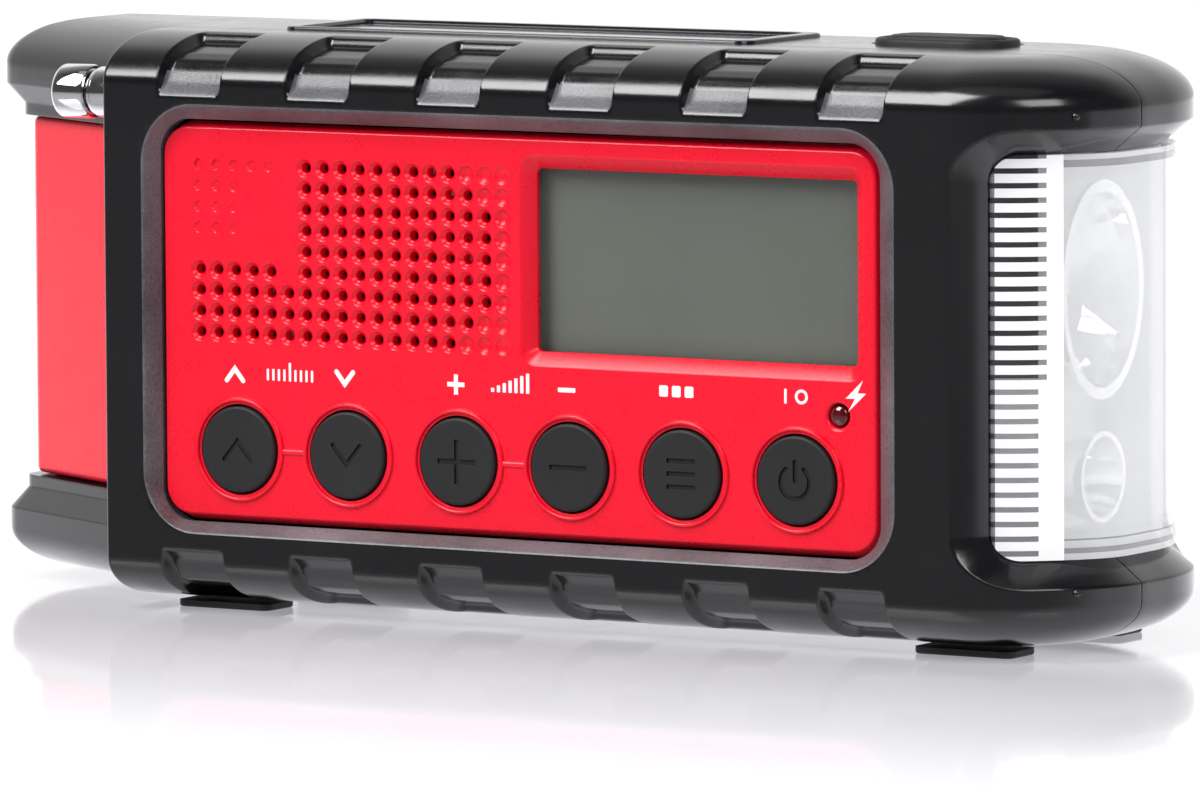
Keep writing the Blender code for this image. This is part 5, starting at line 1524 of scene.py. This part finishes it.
# ----------------------------------------------------------------- top pieces
def rounded_slab(name, rect, radius, low, high, r_edge, mats, n=10, steps=4, normal="Z", tool=False):
    secs = [(rrect(*rect, radius, n), low)]
    for a in np.linspace(0, 90, steps + 1):
        s, c = math.sin(math.radians(a)), math.cos(math.radians(a))
        inset = r_edge * (1 - c)
        secs.append((rrect(*grow(rect, -inset), max(radius - inset, 0.2), n), high - r_edge * (1 - s) * (1 if high > low else -1)))
    return crisp(stack(name, secs, mats, normal=normal, tool=tool))


put_on(rounded_slab("solar_panel_cells", grow(SOLAR, -0.3), 1.0, TOP_Z - 1.6, TOP_Z - 0.1, 0.2, ["solar"]), "case", "solar_panel", slot="solar_cell")


def build_switch():
    outer, inner = grow(SWITCH, -0.3), grow(SWITCH, -2.0)
    prof = [(0.0, TOP_Z - 1.6), (0.0, TOP_Z + 0.45), (0.12, TOP_Z + 0.70), (0.35, TOP_Z + 0.86), (0.65, TOP_Z + 0.9), (1.05, TOP_Z + 0.86), (1.45, TOP_Z + 0.62), (1.7, TOP_Z + 0.3), (1.7, TOP_Z - 1.6), (0.0, TOP_Z - 1.6)]
    rings = [[(x, d, z) for x, d in rrect(*grow(outer, -i), max(5.6 - i, 0.3), 12)] for i, z in prof]
    put_on(mesh_object("lamp_switch_ring", *bridge(rings, closed_ends=False), ["rubber"]), "case", "lamp_switch_bezel", slot="black_rubber")
    pad = grow(SWITCH, -2.3)
    foot = grow(SWITCH, -1.2)
    secs = [(rrect(*foot, 4.6, 12), TOP_Z - 3.4), (rrect(*foot, 4.6, 12), TOP_Z - 2.1), (rrect(*pad, 3.6, 12), TOP_Z - 2.1), (rrect(*pad, 3.6, 12), TOP_Z + 0.75)]
    secs += [(rrect(*grow(pad, -i), 3.6 - i, 12), TOP_Z + z) for i, z in ((0.06, 0.95), (0.2, 1.12), (0.45, 1.24), (0.8, 1.29), (1.4, 1.3))]
    cap = stack("lamp_switch_pad", secs, ["rubber"], normal="Z")
    put_on(crisp(cap), "lamp_switch", "lamp_switch_button", slot="black_rubber")
    # raised marks: a white lamp sign and a red one
    x0, d0 = 121.0, 35.0
    white = [ribbon([(x0 - 1.3, d0 - 1.3), (x0 - 1.3, d0 + 1.3)], 0.5), ribbon([(x0 + 0.2, d0 + 1.0), (x0 + 1.5, d0 + 1.5)], 0.42),
             ribbon([(x0 + 0.2, d0), (x0 + 1.7, d0)], 0.42), ribbon([(x0 + 0.2, d0 - 1.0), (x0 + 1.5, d0 - 1.5)], 0.42)]
    white.append(ribbon([(114.2, d0 - 1.5), (114.2, d0 + 1.5)], 0.40))
    x1 = 126.5
    red = [circle(x1, d0, 1.15, 28)]
    for key, outlines in (("white_ink", white), ("red_ink", red)):
        marks = [prism("mark", o, TOP_Z + 1.28, TOP_Z + 1.285 + 0.012, [key], normal="Z") for o in outlines]
        obj = joined("switch_mark_" + key.split("_")[0], marks, [key])
        TOOLS.objects.unlink(obj)
        PIECES.objects.link(obj)
        put_on(obj, "lamp_switch", slot="white_plastic" if key == "white_ink" else "red_plastic")


build_switch()


# ---------------------------------------------------------- crank on the rear
def build_crank():
    z = CRANK_Z
    arm_rect = (GRIP_PIVOT_X - 4.2, CRANK_X + 7.5, z - 6.2, z + 6.2)
    arm = stack("crank_arm_bar", [(rrect(*arm_rect, 6.1, 12), 47.3)] +
                [(rrect(*grow(arm_rect, -i), 6.1 - i, 12), d) for i, d in ((0.0, 49.2), (0.1, 49.55), (0.3, 49.8), (0.62, 49.95), (1.0, 50.0))], ["case"])
    ups = []
    for side in (-1, 1):
        zc = z + side * 4.9
        ear = [(GRIP_PIVOT_X - 3.3, 49.0), (GRIP_PIVOT_X + 3.3, 49.0)] + [(GRIP_PIVOT_X + 3.3 * math.cos(a), GRIP_D + 3.3 * math.sin(a)) for a in np.radians(np.linspace(0, 180, 20))]
        ups.append(stack("up_ear", [([(GRIP_PIVOT_X + (x - GRIP_PIVOT_X) * k, (d - 49.0) * k + 49.0) for x, d in ear], zz) for zz, k in
                                    ((zc - 1.2, 0.95), (zc - 1.0, 1.0), (zc + 1.0, 1.0), (zc + 1.2, 0.95))], ["case"], normal="Z", tool=True))
    hub = lathe("up_hub", (CRANK_X, z), "Y", [(0, 48), (5.6, 48), (5.6, 50.2), (5.4, 50.45), (5.1, 50.55), (3.2, 50.55), (3.0, 50.4), (0, 50.4)], ["case"], 64, tool=True)
    ups.append(hub)
    boolean(arm, ups, "UNION")
    bake(arm)
    drop(ups)
    cuts = [rod_tool("cut_pin", (GRIP_PIVOT_X, GRIP_D, z), "Z", 1.35, 20, 32), rod_tool("cut_hub", (CRANK_X, 49, z), "Y", 2.35, 8, 48),
            stack("cut_groove", [(rrect(CRANK_X - 19.0, CRANK_X - 7.5, z - 3.2, z + 3.2, 3.1, 10), 49.3), (rrect(CRANK_X - 19.0, CRANK_X - 7.5, z - 3.2, z + 3.2, 3.1, 10), 49.7),
                                 (rrect(CRANK_X - 19.4, CRANK_X - 7.1, z - 3.6, z + 3.6, 3.5, 10), 50.05), (rrect(CRANK_X - 19.4, CRANK_X - 7.1, z - 3.6, z + 3.6, 3.5, 10), 52)],
                  ["case"], tool=True)]
    boolean(arm, cuts)
    bake(arm)
    drop(cuts)
    put_on(crisp(arm), "crank", "crank_arm", slot="black_plastic")
    shaft = lathe("crank_shaft_turned", (CRANK_X, z), "Y", [(0, 50.6), (1.7, 50.6), (2.0, 50.5), (2.1, 50.3), (2.1, 47.0), (3.0, 47.0), (3.0, 30.4), (2.8, 30.2), (0, 30.2)], ["steel"], 48)
    slot_cut = box_tool("cut_drive", CRANK_X - 3, CRANK_X + 3, 49.9, 52, z - 0.35, z + 0.35)
    boolean(shaft, [slot_cut])
    bake(shaft)
    drop([slot_cut])
    put_on(shaft, "crank", "crank_shaft", slot="steel")
    pin = lathe("grip_pin_turned", (GRIP_PIVOT_X, GRIP_D), "Z", [(0, z - 6.0), (0.8, z - 6.0), (1.0, z - 5.85), (1.0, z + 5.85), (0.8, z + 6.0), (0, z + 6.0)], ["steel"], 32)
    put_on(pin, "crank", "grip_pin", slot="steel")
    x0 = GRIP_PIVOT_X
    spindle = lathe("spindle_eye", (x0, GRIP_D), "Z", [(0, z - 3.3), (2.6, z - 3.3), (2.9, z - 3.0), (2.9, z + 3.0), (2.6, z + 3.3), (0, z + 3.3)], ["steel"], 40)
    rod = lathe("up_rod", (GRIP_D, z), "X", [(0, x0 + 1), (1.5, x0 + 1), (1.5, x0 + 25.8), (2.1, x0 + 25.8), (2.1, x0 + 26.6), (1.8, x0 + 27.0), (0, x0 + 27.0)], ["steel"], 36, tool=True)
    boolean(spindle, [rod], "UNION")
    bake(spindle)
    bore = rod_tool("cut_bore", (x0, GRIP_D, z), "Z", 1.35, 20, 32)
    boolean(spindle, [bore])
    bake(spindle)
    drop([rod, bore])
    put_on(spindle, "grip_stem", "grip_spindle", slot="steel")
    prof = [(1.85, 25.3), (2.9, 25.3), (3.25, 25.2), (3.45, 24.95), (3.5, 24.6), (3.5, 22.9), (3.42, 22.6), (3.25, 22.4)]
    for k in range(13):
        c = 21.9 - k * 1.06
        prof += [(3.2, c + 0.30), (3.38, c + 0.16), (3.38, c - 0.16), (3.2, c - 0.30), (3.06, c - 0.45)]
    prof += [(3.25, 8.2), (3.45, 8.0), (3.5, 7.7), (3.5, 5.2), (3.42, 4.8), (3.2, 4.55), (2.9, 4.5), (1.85, 4.5), (1.85, 25.3)]
    grip = lathe("crank_grip_rubber", (GRIP_D, z), "X", [(r, x0 + t) for r, t in prof], ["rubber"], 56, smooth=45)
    put_on(grip, "grip", "crank_grip", slot="black_rubber")


build_crank()


# ------------------------------------------------- battery door, ports, screws
def build_rear():
    rect = (DOOR[0] + 0.5, DOOR[1] - 0.5, DOOR[2] + 0.6, DOOR[3] - 0.5)
    door = rounded_slab("battery_door_plate", rect, 1.0, DEPTH - 2.4, DEPTH - 0.1, 0.35, ["rear"], 8, 4, normal="Y")
    catch = box_tool("up_catch", 13.0, 21.0, DEPTH - 4.6, DEPTH - 1.6, BAT[3] - 1.9, BAT[3] - 0.5)
    boolean(door, [catch], "UNION")
    bake(door)
    drop([catch])
    cuts = []
    dent = [(rrect(11.6, 22.4, DOOR[3] - 5.0, DOOR[3] - 2.4, 1.2, 8), DEPTH - 0.95), (rrect(11.3, 22.7, DOOR[3] - 5.3, DOOR[3] - 2.1, 1.5, 8), DEPTH - 0.75),
            (rrect(10.8, 23.2, DOOR[3] - 5.8, DOOR[3] - 1.6, 2.0, 8), DEPTH - 0.05), (rrect(10.8, 23.2, DOOR[3] - 5.8, DOOR[3] - 1.6, 2.0, 8), DEPTH + 2)]
    cuts.append(stack("cut_dent", dent, ["rear"], tool=True))
    grooves = [stack("g", [(rrect(9.0 + k, 25.0 - k, z - 0.35, z + 0.35, 0.33, 4), DEPTH - 0.5), (rrect(8.7 + k, 25.3 - k, z - 0.6, z + 0.6, 0.55, 4), DEPTH - 0.05),
                           (rrect(8.7 + k, 25.3 - k, z - 0.6, z + 0.6, 0.55, 4), DEPTH + 2)], ["rear"], tool=True) for k, z in ((0, 4.6), (1.2, 2.6), (2.4, 0.6))]
    cuts.append(joined("cut_grooves", grooves, ["rear"]))
    boolean(door, cuts)
    bake(door)
    drop(cuts)
    put_on(crisp(door), "door", "battery_door", slot="black_plastic")

    p0 = grow(PORT, 1.0)
    flap = rounded_slab("port_cover_flap", p0, 1.8, DEPTH - 1.6, DEPTH - 0.1, 0.35, ["rubber"], 8, 4, normal="Y")
    nail = stack("cut_nail", [(rrect(p0[1] - 2.2, p0[1] + 3, -2.4, 3.4, 0.6, 6), DEPTH - 0.75), (rrect(p0[1] - 2.6, p0[1] + 3, -2.8, 3.8, 0.9, 6), DEPTH - 0.08),
                              (rrect(p0[1] - 2.6, p0[1] + 3, -2.8, 3.8, 0.9, 6), DEPTH + 2)], ["rubber"], tool=True)
    boolean(flap, [nail])
    bake(flap)
    drop([nail])
    put_on(crisp(flap), "cover", "port_cover", slot="black_rubber")

    out = rounded_slab("usb_out_shell", (58.8, 65.2, 0.6, 14.6), 0.5, 45.0, 55.4, 0.15, ["steel", "icon_dark"], 4, 2, normal="Y")
    mouth = prism("cut_mouth", rrect(59.3, 64.7, 1.1, 14.1, 0.25, 3), 47.0, 60.0, ["steel"])
    boolean(out, [mouth])
    bake(out)
    tongue = prism("up_tongue", rrect(60.4, 62.0, 1.9, 13.3, 0.2, 2), 46.5, 54.2, ["steel", "icon_dark"], 1)
    boolean(out, [tongue], "UNION")
    bake(out)
    drop([mouth, tongue])
    put_on(crisp(out), "case", "usb_out_port", slot="steel")
    inp = rounded_slab("usb_in_shell", (60.4, 63.4, -12.6, -4.6), 1.45, 47.0, 55.4, 0.12, ["steel", "icon_dark"], 6, 2, normal="Y")
    mouth = prism("cut_mouth", rrect(60.75, 63.05, -12.25, -4.95, 1.1, 6), 49.0, 60.0, ["steel"])
    boolean(inp, [mouth])
    bake(inp)
    tongue = prism("up_tongue", rrect(61.6, 62.2, -11.3, -5.9, 0.2, 3), 48.5, 54.4, ["steel", "icon_dark"], 1)
    boolean(inp, [tongue], "UNION")
    bake(inp)
    drop([mouth, tongue])
    put_on(crisp(inp), "case", "usb_in_port", slot="steel")

    for k, (x, z) in enumerate(SCREWS):
        head = [(0, 56.65), (0.9, 56.6), (1.7, 56.42), (2.3, 56.12), (2.62, 55.85), (2.7, 55.7), (2.7, 55.4), (1.25, 55.3), (1.25, 24.0), (0, 23.2)]
        screw = lathe("case_screw_turned_%d" % (k + 1), (x, z), "Y", head, ["steel"], 40)
        turn = 0.4 + 0.9 * k
        cross = []
        for a in (turn, turn + math.pi / 2):
            c, s = math.cos(a), math.sin(a)
            outline = lambda w, l: [(x + l * c - w * s, z + l * s + w * c), (x - l * c - w * s, z - l * s + w * c), (x - l * c + w * s, z - l * s - w * c), (x + l * c + w * s, z + l * s - w * c)]
            cross.append(stack("cut_cross", [(outline(0.14, 0.5), 55.5), (outline(0.30, 1.45), 57.2)], ["steel"], tool=True))
        boolean(screw, cross)
        bake(screw)
        drop(cross)
        put_on(screw, "case", "case_screw_%d" % (k + 1), slot="steel")

    for name, x, d in (("foot_front_left", 14.0, 9.2), ("foot_front_right", 138.0, 9.2), ("foot_rear_left", 14.0, 40.8), ("foot_rear_right", 138.0, 40.8)):
        rect = (x - 8.0, x + 8.0, d, d + 8.0)
        secs = [(rrect(*rect, 1.6, 6), BOTTOM_Z - GAP)]
        secs += [(rrect(*grow(rect, -i), 1.6 - i, 6), FOOT_Z + h) for i, h in ((0.0, 0.30), (0.05, 0.16), (0.16, 0.05), (0.32, 0.0))]
        put_on(crisp(stack(name + "_pad", secs, ["rubber"], normal="Z")), "case", name, slot="black_rubber")


build_rear()

# ------------------------------------------------ CAD nodes that keep their shape
for node, key in (("button_board", "board"), ("main_board", "board"), ("antenna_clip", "rear"), ("lamp_board", "white"), ("lamp_switch_board", "board"),
                  ("gear_plate", "steel"), ("drive_gear", "white"), ("idler_gear", "white"), ("idler_axle", "steel"), ("generator_body", "steel"),
                  ("generator_pinion", "brass"), ("battery_cell", "wrap"), ("battery_contact_plus", "brass"), ("battery_contact_minus", "brass"),
                  ("port_board", "board")):
    paint(node, key)
